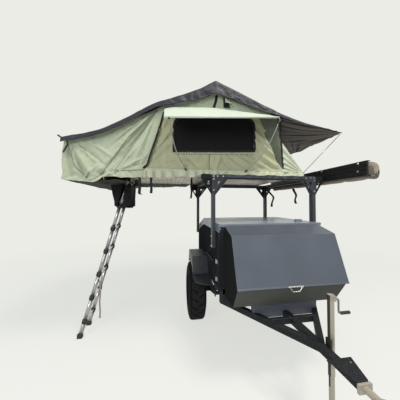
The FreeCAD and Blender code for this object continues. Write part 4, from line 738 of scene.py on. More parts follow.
# Tent cloth. A fold is its line from one (y, z) to another, its width and how far it stands out.
FRONT_FOLDS = (
    (((-0.530, 2.150), (-0.330, 2.010)), 0.020, -0.020), (((-0.370, 2.190), (-0.120, 2.050)), 0.026, 0.018),
    (((-0.160, 2.190), (0.180, 2.030)), 0.030, -0.016), (((-0.130, 2.500), (0.100, 2.280)), 0.022, 0.018),
    (((-0.140, 2.330), (0.180, 2.110)), 0.024, -0.018), (((-0.130, 2.400), (0.150, 2.190)), 0.018, 0.014),
    (((-0.130, 2.580), (0.040, 2.400)), 0.018, -0.012), (((-0.130, 2.260), (0.200, 2.080)), 0.018, 0.014),
    (((-0.610, 2.030), (-0.540, 2.190)), 0.016, 0.014), (((-1.260, 2.260), (-1.090, 2.480)), 0.018, 0.020),
    (((-1.300, 2.180), (-1.090, 2.400)), 0.016, -0.016), (((-1.230, 2.380), (-1.090, 2.570)), 0.018, -0.016),
    (((-1.310, 2.140), (-1.090, 2.320)), 0.016, 0.016), (((-1.220, 2.470), (-1.120, 2.640)), 0.016, 0.014),
    (((-1.330, 2.090), (-1.060, 2.230)), 0.018, -0.014), (((-1.340, 2.050), (-0.900, 2.120)), 0.022, 0.012),
    (((-0.950, 2.180), (-0.790, 2.030)), 0.014, -0.010), (((-0.760, 2.180), (-0.990, 2.060)), 0.022, 0.012),
    (((-0.700, 2.040), (-0.660, 2.190)), 0.014, -0.012), (((-0.470, 2.200), (-0.200, 2.040)), 0.018, -0.014),
    (((-0.300, 2.210), (0.100, 2.040)), 0.020, 0.014), (((-0.210, 2.170), (-0.020, 2.040)), 0.014, -0.012),
    (((-0.060, 2.200), (0.170, 2.060)), 0.014, 0.012), (((-1.250, 2.030), (-1.000, 2.170)), 0.014, -0.008),
    (((-1.130, 2.720), (-0.640, 2.960)), 0.020, 0.006), (((-0.560, 2.950), (0.050, 2.700)), 0.020, -0.006),
    (((-0.900, 2.740), (-0.620, 2.900)), 0.030, 0.008), (((-0.300, 2.740), (-0.520, 2.880)), 0.022, 0.006),
)
ANNEX_FOLDS = (
    (((-1.250, 2.690), (-1.860, 1.960)), 0.024, 0.022), (((-1.250, 2.690), (-1.700, 1.980)), 0.018, -0.018),
    (((-1.270, 2.650), (-1.540, 1.990)), 0.026, 0.014), (((-1.270, 2.620), (-1.460, 2.010)), 0.016, -0.010),
    (((-1.290, 2.680), (-1.780, 2.200)), 0.018, -0.014), (((-1.320, 2.650), (-1.620, 2.240)), 0.014, 0.014),
    (((-1.330, 2.640), (-1.700, 2.300)), 0.012, 0.012), (((-1.300, 2.600), (-1.500, 2.300)), 0.012, -0.010),
    (((-2.120, 2.260), (-1.900, 1.900)), 0.024, 0.026), (((-2.150, 2.270), (-2.120, 1.900)), 0.022, -0.034),
    (((-2.090, 2.290), (-1.780, 2.030)), 0.020, -0.014), (((-1.960, 2.300), (-1.700, 2.120)), 0.018, 0.012),
    (((-2.110, 2.240), (-1.980, 1.930)), 0.018, -0.020), (((-2.080, 2.270), (-1.860, 2.060)), 0.014, 0.014),
    (((-1.450, 2.020), (-1.300, 2.300)), 0.018, 0.010), (((-1.660, 1.985), (-1.330, 2.180)), 0.014, 0.010),
    (((-1.680, 1.985), (-1.340, 2.090)), 0.014, -0.009), (((-1.690, 1.990), (-1.400, 2.320)), 0.014, 0.010),
    (((-2.000, 1.900), (-1.840, 2.060)), 0.016, 0.018), (((-1.900, 1.880), (-1.780, 1.990)), 0.014, -0.016),
    (((-1.980, 1.880), (-1.900, 2.010)), 0.012, -0.014), (((-1.760, 1.930), (-1.700, 2.060)), 0.012, 0.012),
    (((-1.860, 1.880), (-1.740, 1.960)), 0.012, 0.014), (((-1.720, 1.930), (-1.650, 1.990)), 0.010, -0.010),
)


def front_depth(y, z):
    """How far the end wall's cloth stands out of its plane."""
    out = 0.006 * ripple(0.0, y, z, 0.30, 1.7) + 0.0028 * ridged(0.0, y, z, 0.09, 5.1)
    for line, width, depth in FRONT_FOLDS:
        out += 1.5 * depth * crease(y, z, line, width)
    stitch = 2.200 + 0.030 * (y + 1.07)
    under_window = smooth_step(-1.10, -1.05, y) * smooth_step(-0.13, -0.18, y)
    gather = math.exp(-((z - stitch) / 0.011) ** 2) * under_window
    out += gather * (0.006 * math.sin(2.0 * math.pi * y / 0.030) + 0.003)
    zip_y = side_on(ZIP_LEFT, z)
    start = side_on(PANEL_EDGE, z)
    if y < zip_y:
        back = PANEL_DEPTH * smooth_step(2.050, 2.200, z) * smooth_step(2.560, 2.450, z)
        back *= smooth_step(start - 0.035, start + 0.004, y) * smooth_step(zip_y - 0.008, start + 0.020, y)
        out -= back
        out += 0.004 * smooth_step(start - 0.05, start - 0.035, y) * smooth_step(start, start - 0.035, y)
    else:
        pleat, far = fan(y, z, CORNER_PLEATS, 8.5, 2.4)
        angle = math.atan2(z - CORNER_PLEATS[1], CORNER_PLEATS[0] - y)
        teeth = abs((angle * 6.2) % 1.0 - 0.5) * 2.0 + 0.3 * pleat
        out += 0.016 * (teeth - 0.5) * smooth_step(0.03, 0.14, far) * smooth_step(0.0, 0.02, y - zip_y)
    if y < start - 0.035 or y > zip_y:
        out = max(out, -0.007)
    out -= 0.010 * smooth_step(-1.17, -1.23, y)
    if z < FLOOR_Z + 0.03:
        low = smooth_step(FLOOR_Z + 0.03, FLOOR_Z, z)
        scallop = 0.011 * (1.0 + math.sin(y * 62.0 + 2.0 * math.sin(y * 9.0))) * (2.03 - z) / 0.06
        scallop += 0.006 * ridged(0.2, y, z, 0.05, 7.7)
        out = mix(out, max(out, 0.0) * 0.5 + 0.004 + scallop, low)
    return out


def annex_depth(y, z):
    """How far the annex's end wall stands out of its plane."""
    crumpled = smooth_step(-1.42, -1.62, y)
    out = 0.008 * ripple(0.3, y, z, 0.26, 3.3) + crumpled * 0.0045 * ridged(0.6, y, z, 0.085, 8.2)
    out += 0.0025 * ridged(0.1, y, z, 0.14, 1.2)
    pulled, far = fan(y, z, BOW_PLEATS, 11.0, 0.7)
    out += 0.007 * pulled * smooth_step(0.05, 0.30, far) * smooth_step(0.85, 0.45, far)
    for line, width, depth in ANNEX_FOLDS:
        out += 1.4 * depth * crease(y, z, line, width)
    low = smooth_step(2.06, 1.93, z)
    out += low * crumpled * 0.010 * ridged(0.9, y, z, 0.060, 4.4)
    return max(out + 0.010, -0.020)


def roof_line(y):
    return height_on([BOW_RIGHT, RIDGE, BOW_LEFT], y)


def hem_height(y):
    """The end wall's lower edge: it hangs over the fold-out base and ends on the front beam."""
    sag = mix(mix(1.916, 1.938, smooth_step(-1.40, -0.86, y)), 1.974, smooth_step(-0.86, -0.74, y))
    return sag + 0.004 * math.sin(y * 23.0) + 0.005 * ripple(0.0, y, 0.0, 0.05, 3.9)


def end_wall_surface(u, v):
    """The end wall's (y, z) for the grid's u and v: up to the bows, and then up to the ridge."""
    turn = 0.72
    if v < turn:
        z = mix(hem_height(mix(CORNER_RIGHT[0], CORNER_LEFT[0], u)), BOW_RIGHT[1] - 0.006, v / turn)
        right = side_on(((CORNER_RIGHT[0], 1.90), CORNER_RIGHT, (-1.362, 2.07), BOW_RIGHT), z)
        left = side_on(((0.512, 1.90), CORNER_LEFT, KNEE_LEFT, BOW_LEFT), z)
        return mix(right, left, u), z
    y = mix(BOW_RIGHT[0], BOW_LEFT[0], u)
    return y, mix(BOW_RIGHT[1] - 0.006, roof_line(y) - 0.004, (v - turn) / (1.0 - turn))


def window_cutter(x):
    """A rounded window prism that cuts the end wall."""
    y0, y1, z0, z1 = WINDOW
    bm = bmesh.new()
    block(bm, at(x - 0.2, y0, z0), at(x + 0.2, y1, z1))
    corners = [edge for edge in bm.edges
               if abs(edge.verts[0].co.x - edge.verts[1].co.x) > 0.1 and edge.verts[0].co.z > z1 - 0.001]
    round_edges(bm, corners, WINDOW_ROUND, 8)
    for vert in bm.verts:
        vert.co.z += WINDOW_TILT * (vert.co.y - at(0, y0, 0).y)
    return placed("window_cutter", as_mesh("window_cutter", bm))


def wall_points(line, plane, way, depth, lift, step=0.02):
    """Points along a (y, z) line on a wrinkled end wall, and the directions across it."""
    count = max(int(line_length(line) / step), 2)
    flat = [line_point(line, i / count) for i in range(count + 1)]
    points = [at(plane + way * (depth(p.x, p.y) + lift), p.x, p.y) for p in flat]
    sides = []
    for i in range(count + 1):
        run = flat[min(i + 1, count)] - flat[max(i - 1, 0)]
        sides.append(Vector((0.0, -run.y, run.x)).normalized())
    return points, sides


def wall_tape(name, line, width, plane, way, depth, finish, lift=0.002, thickness=0.002):
    """Tape, zip or piping that follows a wrinkled end wall."""
    points, sides = wall_points(line, plane, way, depth, lift)
    return band(name, points, width, lambda i: sides[i], (way, 0, 0), finish, thickness)


def window_outline(grow=0.0):
    """The window's outline as (y, z) points, with its round upper corners."""
    y0, y1, z0, z1 = WINDOW[0] - grow, WINDOW[1] + grow, WINDOW[2] - grow, WINDOW[3] + grow
    reach = WINDOW_ROUND + grow
    points = [(y0, z0)]
    for middle, start in (((y0 + reach, z1 - reach), 180.0), ((y1 - reach, z1 - reach), 90.0)):
        for i in range(9):
            angle = math.radians(start - i * 90.0 / 8)
            points.append((middle[0] + reach * math.cos(angle), middle[1] + reach * math.sin(angle)))
    points += [(y1, z0), (y0, z0)]
    return [(y, z + WINDOW_TILT * (y - WINDOW[0])) for y, z in points]


def wall_trims(label, plane, way):
    """The zip, the window's binding, the strap, piping and seams of one end wall."""
    trims = []
    for name, line, width, key in (
        ("zip_left", ZIP_LEFT, 0.024, "webbing"),
        ("window_binding", window_outline(0.010), 0.030, "webbing"),
        ("ridge_strap", [(-0.592, 2.895), (-0.600, 2.840), (-0.627, 2.745)], 0.030, "webbing"),
        ("base_piping", [(-1.390, 2.026), (-0.800, 2.026), (0.490, 2.026)], 0.008, "canvas"),
        ("window_stitching", [(-1.079, 2.190), (-0.154, 2.218)], 0.008, "canvas_in"),
        ("middle_seam", [(-0.682, 2.205), (-0.680, 2.030)], 0.009, "canvas_in"),
    ):
        trims.append(wall_tape(f"{name}_{label}", line, width, plane, way, front_depth, FINISH[key]))
    return trims


def cut_window(piece, plane):
    """Cuts the rounded window out of an end wall."""
    cutter = window_cutter(plane)
    hole = piece.modifiers.new("Window", "BOOLEAN")
    hole.object = cutter
    hole.operation = "DIFFERENCE"
    hole.solver = "EXACT"
    settle(piece)
    bpy.data.objects.remove(cutter)


def tent_ends():
    """Both end walls: the front one as the photograph shows it, and the rear one as its like."""
    for label, plane, way in ENDS:
        def surface(u, v):
            y, z = end_wall_surface(u, v)
            return at(plane + way * front_depth(y, z), y, z)

        bm = grid(210, 116, surface)
        # Faces of the recessed panel beside the left zip get the darker canvas, as painted shade.
        for face in bm.faces:
            middle = face.calc_center_median() - START
            edge = side_on(PANEL_EDGE, middle.z)
            zip_y = side_on(ZIP_LEFT, middle.z)
            if edge < middle.y < zip_y and PANEL_LOW < middle.z < PANEL_HIGH:
                face.material_index = 2
        finishes = [FINISH[key] for key in ("canvas_wall_painted_light_and_shade", "canvas_in", "canvas_painted_shade", "canvas_in")]
        piece = cloth("canopy_wall_" + label, bm, (way, 0, 0), finishes)
        cut_window(piece, plane)
        trims = wall_trims(label, plane, way)
        if label == "front":
            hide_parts("canopy_front")
        else:
            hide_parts("canopy_rear")


def window_nets():
    """The black nets behind the windows, in front of the bows."""
    over = 0.022
    for label, plane, way in ENDS:
        def surface(u, v):
            y = mix(WINDOW[0] - over, WINDOW[1] + over, u)
            z = mix(WINDOW[2] - over, WINDOW[3] + over, v) + WINDOW_TILT * (y - WINDOW[0])
            slack = 0.0012 * ripple(0.0, y, z, 0.12, 6.0)
            return at(plane - way * (0.0045 + slack), y, z)

        net = cloth("window_net_" + label, grid(60, 26, surface), (way, 0, 0), [FINISH["net"]],
                    0.001)
    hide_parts("window_mesh")


def vent_flap():
    """A small vent near the ridge: a cover that is propped open over a dark opening."""
    def opening(u, v):
        return at(TENT_FRONT + 0.0135, mix(-0.516, -0.436, u * (0.35 + 0.65 * v)), mix(2.872, 2.752, v))

    dark = cloth("vent_opening", grid(8, 8, opening), (1, 0, 0), [FINISH["black_cloth"]],
                 0.001)

    def cover(u, v):
        y = mix(mix(-0.500, -0.502, v), mix(-0.470, -0.400, v), u)
        z = mix(2.880, mix(2.800, 2.764, u), v)
        return at(TENT_FRONT + 0.018 + 0.050 * v * math.sin(math.pi * (0.12 + 0.76 * u)), y, z)

    piece = canvas_sheet("vent_flap", grid(14, 12, cover), (1, 0, 0))


def tent_roof():
    """The canopy's two roof slopes under the fly."""
    line = [BOW_RIGHT, RIDGE, BOW_LEFT]

    def roof(u, v):
        point = line_point(line, u)
        sag = 0.012 * math.sin(math.pi * v) * abs(math.sin(math.pi * 2.0 * u))
        return at(mix(TENT_REAR + 0.004, TENT_FRONT - 0.004, v), point.x, point.y - 0.003 - sag)

    piece = canvas_sheet("canopy_roof_cloth", grid(48, 40, roof), (0, 0, 1))
    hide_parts("canopy_roof")


def tent_left_end():
    """The canopy's left end with the kink at the knee."""
    left = [BOW_LEFT, KNEE_LEFT, CORNER_LEFT, (0.486, 1.985)]

    def left_end(u, v):
        point = line_point(left, v)
        inward = math.sin(math.pi * u) * math.sin(math.pi * min(v * 1.1, 1.0))
        pleat = 0.006 * math.sin(u * 46.0) * smooth_step(0.25, 0.7, v) * smooth_step(1.0, 0.9, v)
        return at(mix(TENT_REAR + 0.004, TENT_FRONT - 0.004, u), point.x - 0.03 * inward + pleat, point.y)

    side = canvas_sheet("canopy_left_end", grid(150, 40, left_end), (0, 1, 0))
    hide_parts("canopy_ends")


def tent_right_end():
    """The canopy's right end inside the annex, with its open door."""
    right = [(-1.590, FLOOR_Z + 0.003), (BOW_RIGHT[0] - 0.012, BOW_RIGHT[1] - 0.02)]

    def right_end(u, v):
        point = line_point(right, v)
        rough = 0.004 * ripple(u * 3.0, v * 2.0, 0.0, 0.3)
        return at(mix(TENT_REAR + 0.008, TENT_FRONT - 0.008, u), point.x + rough, point.y)

    bm = grid(80, 40, right_end)
    for x in DOOR:
        split(bm, at(x, 0, 0), (1, 0, 0))
    split(bm, at(0, 0, DOOR_TOP), (0, 0, 1))
    cut_out(bm, lambda middle: DOOR[0] < middle.x < DOOR[1] and middle.z < DOOR_TOP)
    wall = canvas_sheet("canopy_right_end", bm, (0, -1, 0))


# The front's rods, as (distance out of the wall's plane, y, z)
RIGHT_ROD = ((0.352, -1.134, 2.462), (0.270, -1.112, 2.350), (0.170, -1.062, 2.180), (0.060, -0.985, 2.070),
             (0.016, -0.945, 2.010))
LEFT_ROD = ((0.350, -0.004, 2.494), (0.275, -0.035, 2.350), (0.175, -0.118, 2.170), (0.070, -0.205, 2.060),
            (0.016, -0.262, 2.010))
ROD_LINK = ((0.350, -0.004, 2.490), (0.351, 0.012, 2.508), (0.350, 0.000, 2.528), (0.350, -0.002, 2.542))
FLY_ROD = ((-0.030, 0.490, 1.996), (-0.030, 1.044, 2.534))
FLY_HOOK = ((-0.030, 1.020, 2.512), (-0.010, 1.034, 2.526), (0.022, 1.004, 2.532))


def tent_rods():
    """Bent spring rods that hold out the window awnings, their links, and the rods of the fly's left edge."""
    bent = [ahead(plane, way, rod) for _, plane, way in ENDS for rod in (RIGHT_ROD, LEFT_ROD)]
    links, straight, hooks = [[ahead(plane, way, rod) for _, plane, way in ENDS]
                              for rod in (ROD_LINK, FLY_ROD, FLY_HOOK)]
    rods = tubes("window_rods", bent, 0.0055, FINISH["rod"])
    tubes("window_rod_links", links, 0.0035, FINISH["rod"])
    tubes("fly_rods", straight, 0.0045, FINISH["rod"], round_bends=False)
    tubes("fly_rod_hooks", hooks, 0.0032, FINISH["rod"])
    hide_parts("tent_rods")
    caps = bmesh.new()
    for run in bent:
        bars(caps, [(run[0] - (run[1] - run[0]).normalized() * 0.004, run[0].lerp(run[1], 0.12))], 0.0085, 12)
        bars(caps, [(run[-1], run[-1].lerp(run[-2], 0.4))], 0.0085, 12)
    new_piece("window_rod_caps", caps, [FINISH["plastic"]], "frame")


# The seams on the annex's end walls, as (y, z)
ANNEX_SEAMS = (
    ((-1.262, 2.670), (-1.560, 2.330), (-1.843, 1.930)),
    ((-1.262, 2.660), (-1.500, 2.280), (-1.695, 1.985)),
    ((-1.695, 1.985), (-1.400, 2.005)),
    ((-2.160, 2.250), (-2.080, 2.020), (-1.960, 1.905)),
)


def annex_low_edge(y):
    """The annex's sagging lower edge between its outer corner and the base's corner."""
    low = height_on([(-2.205, 1.892), (-2.194, 1.886), (-2.050, 1.868), (-1.906, 1.858), (-1.850, 1.880),
                     (-1.813, 1.914), (-1.700, 1.922), (-1.640, 1.912), (-1.380, 1.922)], y)
    return low + 0.006 * ridged(0.0, y, 0.0, 0.09, 2.2)


def annex_end_surface(u, v):
    """The annex's end wall from the zip beside the window out to its outer edge."""
    inner_low, inner_top = ZIP_RIGHT[-1][0] + 0.002, ZIP_RIGHT[0][0]
    outer_low, outer_top = ANNEX_LOW[0], ANNEX_TIP[0] - 0.012
    top_y, low_y = mix(inner_top, outer_top, u), mix(inner_low, outer_low, u)
    roof = (ANNEX_TIP, (-1.840, 2.392), (-1.520, 2.549), BOW_RIGHT, (-1.180, 2.731))
    top_z = height_on(roof, top_y) - 0.001
    z = mix(annex_low_edge(low_y), top_z, v)
    inner = side_on(ZIP_RIGHT, z) + 0.008
    outer = side_on(((-2.204, 1.89), (-2.196, 1.96), (-2.204, 2.08), (-2.200, 2.18), (-2.184, 2.292)), z)
    outer += 0.004 * ripple(0.0, 0.0, z, 0.05, 6.0)
    y = mix(low_y, top_y, v)
    y += (inner - mix(inner_low, inner_top, v)) * (1.0 - u) ** 3
    return y + (outer - mix(outer_low, outer_top, v)) * u ** 3, z


def annex_ends():
    """The annex's end walls with their seams and zips."""
    for label, plane, way in ENDS:
        def surface(u, v):
            y, z = annex_end_surface(u, v)
            return at(plane + way * annex_depth(y, z), y, z)

        wall = canvas_sheet("annex_wall_" + label, grid(150, 120, surface), (way, 0, 0))
        trims = [wall_tape("zip_right_" + label, ZIP_RIGHT, 0.018, plane, way, annex_depth, FINISH["webbing"],
                           0.003)]
        for i, line in enumerate(ANNEX_SEAMS):
            trims.append(wall_tape(f"annex_seam_{label}_{i + 1}", line, 0.010, plane, way, annex_depth,
                                   FINISH["canvas_in"]))


def annex_skin():
    """The annex's roof and outer wall in one sheet."""
    line = [(BOW_RIGHT[0] - 0.006, BOW_RIGHT[1]), (-1.520, 2.545), (-1.840, 2.395), ANNEX_TIP,
            (-2.205, 2.175), (-2.205, 2.080), (-2.192, 1.990), ANNEX_LOW]

    def skin(u, v):
        point = line_point(line, v)
        x = mix(TENT_REAR + 0.002, TENT_FRONT - 0.002, u)
        side = smooth_step(0.66, 0.76, v)
        rough = 0.012 * ripple(x, point.x, point.y, 0.18, 2.0)
        rough += 0.006 * ridged(x, point.x, point.y, 0.09, 7.0)
        hang = 0.018 * math.sin(math.pi * u) * math.sin(math.pi * v)
        return at(x, point.x - side * 0.7 * rough + side * hang, point.y - (1.0 - side) * (abs(rough) + hang))

    outer = canvas_sheet("annex_outer_cloth", grid(110, 110, skin), (0, -1, 1))
    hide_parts("annex_walls")


def annex_floor():
    """The annex's sagging floor with the hatch for the ladder."""
    def floor(u, v):
        x = mix(TENT_REAR + 0.008, TENT_FRONT - 0.004, u)
        y = mix(-2.190, HATCH[3], v)
        near = smooth_step(0.80, 1.0, u) + smooth_step(0.20, 0.0, u)
        sag = 0.030 * math.sin(math.pi * min(v * 1.3, 1.0)) ** 0.7 * (1.0 - 0.55 * near)
        folds = 0.012 * ridged(x * 0.4, y, 0.0, 0.14, 9.0) + 0.006 * ripple(x, y, 0.0, 0.09, 4.0)
        return at(x, y, 1.886 - sag + folds * smooth_step(0.0, 0.1, v) * smooth_step(1.0, 0.9, v))

    bm = grid(110, 60, floor)
    for x in HATCH[:2]:
        split(bm, at(x, 0, 0), (1, 0, 0))
    for y in HATCH[2:]:
        split(bm, at(0, y, 0), (0, 1, 0))
    cut_out(bm, lambda middle: HATCH[0] < middle.x < HATCH[1] and HATCH[2] < middle.y < HATCH[3] + 0.001)
    sheet = cloth("annex_floor_cloth", bm, (0, 0, -1), [FINISH["floor_cloth"]])
    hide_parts("annex_floor")


# The fly's edge over the front as (y, z), and how far its valance drops there
FLY_LINE = ((-2.196, 2.306), (-2.110, 2.330), (-1.970, 2.362), (-1.830, 2.408), (-1.680, 2.485),
            (-1.525, 2.577), (-1.390, 2.665), (-1.259, 2.738), (-1.120, 2.790), (-0.980, 2.846),
            (-0.790, 2.932), (-0.613, 3.036), (-0.420, 2.958), (-0.211, 2.874), (-0.030, 2.796),
            (0.158, 2.722), (0.360, 2.655), (0.579, 2.600), (0.780, 2.562), (1.000, 2.531))
VALANCE = ((-2.196, 0.055), (-1.830, 0.055), (-1.530, 0.062), (-1.250, 0.066), (-0.950, 0.100),
           (-0.613, 0.158), (-0.330, 0.124), (-0.030, 0.088), (0.158, 0.052), (1.000, 0.012))

# The fly's corner straps, as (distance out of its edge, y, z)
CORNER_STRAPS = (
    ((0.0, -2.140, 2.275), (0.012, -2.118, 2.240), (0.008, -2.150, 2.195), (0.010, -2.166, 2.150)),
    ((0.0, -2.190, 2.300), (0.004, -2.205, 2.312), (0.002, -2.222, 2.322)),
)


# The fly's front and rear edges, the share of its width in each valance, and where it leaves the bows
FLY_FRONT, FLY_REAR = 0.828, -0.688
VALANCE_SHARE = 0.09
FLY_FREE_FROM = 0.158


def fly_surface(u, v):
    """The fly's shape along its line and from rear to front: sag, pleats at the drawn corners, valances."""
    point = line_point(FLY_LINE, u)
    y, z = point.x, point.y
    side = min(max((v - VALANCE_SHARE) / (1.0 - 2.0 * VALANCE_SHARE), 0.0), 1.0)
    x = mix(FLY_REAR, FLY_FRONT, side)
    beyond = smooth_step(FLY_FREE_FROM, FLY_LINE[-1][0], y)
    y += beyond * (0.193 * (1.0 - side) - 0.030 * math.sin(math.pi * side))
    z += beyond * 0.066 * (1.0 - side)
    between = math.sin(math.pi * side)
    z -= 0.012 * between * (0.5 + 0.5 * math.cos(2.0 * math.pi * u * 3.0))
    z -= beyond * 0.022 * between
    for tip_x, seed in ((FLY_FRONT, 0.4), (FLY_REAR, 3.1)):
        pleat, far = fan(x, y, (tip_x, 1.06), 5.5, seed)
        strength = smooth_step(0.02, 0.30, far) * smooth_step(1.05, 0.55, far) * min(beyond * 3.0, 1.0)
        z += 0.016 * pleat * strength
    z += 0.003 * ripple(x, y, z, 0.12, 3.0) + 0.0025 * ridged(x, y, z, 0.16, 5.0)
    hang = abs(v - 0.5) - (0.5 - VALANCE_SHARE)
    if hang > 0.0:
        share = hang / VALANCE_SHARE
        z -= share * height_on(VALANCE, point.x) * (1.0 + 0.07 * ripple(0.0, y, 0.0, 0.07, 8.0))
        fold = 0.009 * ridged(0.0, y + 0.5 * z, z, 0.10, 1.0) + 0.006 * ripple(0.0, y, z, 0.09, 1.0)
        x += (1 if v > 0.5 else -1) * (0.012 * share + share ** 0.5 * fold)
    return at(x, y, z)


def fly_hems(label, v, way):
    """The hem along one edge of the fly and the seam down its ridge there."""
    hems = []
    edge = [fly_surface(i / 160, v) for i in range(4, 157)]
    ridge = [fly_surface(0.574, 0.5 + way * (0.5 - k * 0.01)) for k in range(9)]
    for name, line, lift, width, across in (
        ("fly_hem_", edge, (way * 0.0015, 0, 0.006), 0.014, Vector((0, 0, 1))),
        ("fly_ridge_seam_", ridge, (way * 0.001, 0, 0), 0.010, Vector((0, 1, 0))),
    ):
        points = [point + Vector(lift) for point in line]
        hems.append(band(name + label, points, width, lambda i: across, (way, 0, 0), FINISH["fly"],
                         0.0015))
    return hems


def fly():
    """The fly: one sheet over ridge and bows with valances at both ends, drawn out to the left."""
    piece = cloth("fly_cloth", grid(220, 84, fly_surface), (0, 0, 1), [FINISH["fly"], FINISH["fly_in"]],
                  0.002)
    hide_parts("fly_sheet")
    hems = fly_hems("front", 1.0, 1) + fly_hems("rear", 0.0, -1)
    line_length(FLY_LINE)
    corners = ((FLY_FRONT, 1), (FLY_REAR, -1))
    straps = [ahead(x, way, strap) for x, way in corners for strap in CORNER_STRAPS]
    tubes("fly_corner_straps", straps, 0.0075, FINISH["webbing"])


def window_awnings():
    """The flaps over the windows, each on its bar, with its hem, in the canvas painted lighter as lit from
    above.
    """
    for label, plane, way in ENDS:
        def surface(u, v):
            top_y = mix(FLAP_TOP[0][0], FLAP_TOP[-1][0], u)
            low_y = mix(FLAP_BAR[0][0], FLAP_BAR[1][0], u)
            y = mix(top_y, low_y, v)
            z = mix(height_on(FLAP_TOP, top_y), mix(FLAP_BAR[0][1], FLAP_BAR[1][1], u), v)
            sag = 0.012 * math.sin(math.pi * u) * v * (1.0 - v) * 4.0
            rough = 0.004 * ridged(0.0, y, v, 0.16, 2.5) * math.sin(math.pi * min(v * 1.2, 1.0))
            return at(plane + way * mix(0.012, FLAP_REACH, v), y, z - sag + rough)

        flap = canvas_sheet("window_awning_" + label, grid(110, 36, surface), (0, 0, 1), "canvas_lit")
        ends = [at(plane + way * FLAP_REACH, y, z - 0.001) for y, z in FLAP_BAR]
        hem = tubes("window_awning_hem_" + label, [ends], 0.0095, FINISH["canvas_lit"],
                    round_bends=False)
    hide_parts("window_flap")


# Skirt, bag, straps and fittings
def ladder_skirt():
    """The cloth round the ladder's top: four gathered sides with a split in the front one."""
    x0, x1, y0, y1 = HATCH

    def surface(u, v):
        left = y0 + 0.045 * v
        ring = [(x1, -1.700 - 0.066 * v), (x1, left), (x0, left), (x0, y1 - 0.004), (x1, y1 - 0.004),
                (x1, -1.652 - 0.066 * v)]
        point = line_point(ring, u)
        swing = 0.011 * v * math.sin(u * 92.0) + 0.010 * v * math.sin(u * 41.0 + 1.0)
        middle = Vector(((x0 + x1) / 2, (y0 + y1) / 2))
        out = (point - middle).normalized() * (swing - 0.016 * v)
        low = 1.884 - v * (0.285 - 0.022 * math.sin(u * 23.0))
        return at(point.x + out.x, point.y + out.y * 0.6, low)

    piece = cloth("ladder_skirt_cloth", grid(200, 24, surface), (1, -1, 0), [FINISH["black_cloth"]],
                  0.0015)
    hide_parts("ladder_skirt")
    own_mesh(piece)


def awning_bag():
    """The rolled awning in its bag: a lofted shell that sags between its straps."""
    profile = ((AWNING_BACK, 1.925), (0.820, 1.924), (0.824, 1.895), (0.850, 1.888), (0.885, 1.890),
               (0.912, 1.905), (0.926, 1.940), (0.928, 1.985), (0.918, 2.025), (0.895, 2.048),
               (0.860, 2.058), (0.822, 2.060), (AWNING_BACK, 2.060))
    straps = (-0.55, -0.03, 0.49, 1.01, 1.30)
    middle = (0.868, 1.972)

    def surface(u, v):
        x = mix(-0.684, 1.384, u)
        point = line_point(profile, v)
        near = max(math.exp(-((x - strap) / 0.05) ** 2) for strap in straps)
        pull = 1.0 - 0.05 * near - 0.02 * ripple(x, v * 2.0, 0.0, 0.14, 4.0)
        y = middle[0] + (point.x - middle[0]) * pull
        z = middle[1] + (point.y - middle[1]) * pull - 0.006 * (1.0 - near) * smooth_step(0.0, 0.2, v)
        return at(x, max(y, AWNING_BACK), z)

    bm = grid(200, 48, surface)
    loops = [edge for edge in bm.edges if edge.is_boundary]
    bmesh.ops.holes_fill(bm, edges=loops, sides=0)
    bmesh.ops.recalc_face_normals(bm, faces=bm.faces)
    piece = new_piece("awning_bag_cloth", bm, [FINISH["bag"]], "frame")
    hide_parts("awning_bag")


# The loose straps: their places from top to end, and their width
LOOSE_STRAPS = (
    (((0.764, -1.446, 1.972), (0.770, -1.444, 1.900), (0.772, -1.441, 1.800), (0.776, -1.448, 1.745),
      (0.780, -1.420, 1.738)), 0.030),
    (((0.764, -1.320, 1.972), (0.768, -1.326, 1.850), (0.772, -1.318, 1.800), (0.776, -1.323, 1.752)), 0.028),
    (((0.400, -0.846, 1.972), (0.402, -0.850, 1.850), (0.404, -0.846, 1.780), (0.402, -0.855, 1.706)), 0.024),
    (((-0.668, 0.700, 1.924), (-0.690, 0.745, 1.850), (-0.660, 0.830, 1.760), (-0.680, 0.790, 1.660),
      (-0.670, 0.780, 1.580)), 0.042),
    (((-0.051, 0.860, 1.886), (-0.040, 0.858, 1.850), (0.040, 0.862, 1.770), (0.000, 0.850, 1.700),
      (0.020, 0.860, 1.640)), 0.040),
)


def hanging_straps():
    """Loose ends of the tie straps under the base and the awning."""
    count = 14
    turn = [Vector((0.35 * math.sin(i * 0.5), 1.0, 0.0)).normalized() for i in range(count + 1)]
    for number, (line, width) in enumerate(LOOSE_STRAPS, 1):
        points = []
        for i in range(count + 1):
            place = i / count * (len(line) - 1)
            k = min(int(place), len(line) - 2)
            points.append(at(*line[k]).lerp(at(*line[k + 1]), place - k))
        for _ in range(2):
            points[1:-1] = [(points[i - 1] + points[i] * 2.0 + points[i + 1]) / 4.0 for i in range(1, count)]
        band(f"strap_{number}", points, width, lambda i: turn[i], (1, 0, 0), FINISH["webbing"],
             0.0018)


# The gussets' face plates as (y, z): outline, window and bolts
GUSSET = ((-0.652, 1.970), (-0.500, 1.970), (-0.497, 1.935), (-0.606, 1.778), (-0.616, 1.770),
          (-0.652, 1.770))
GUSSET_WINDOW = ((-0.602, 1.908), (-0.553, 1.896), (-0.590, 1.850))
GUSSET_BOLTS = ((-0.587, 1.953), (-0.522, 1.953), (-0.632, 1.953), (-0.633, 1.920), (-0.633, 1.793))
GUSSET_THICKNESS = 0.004


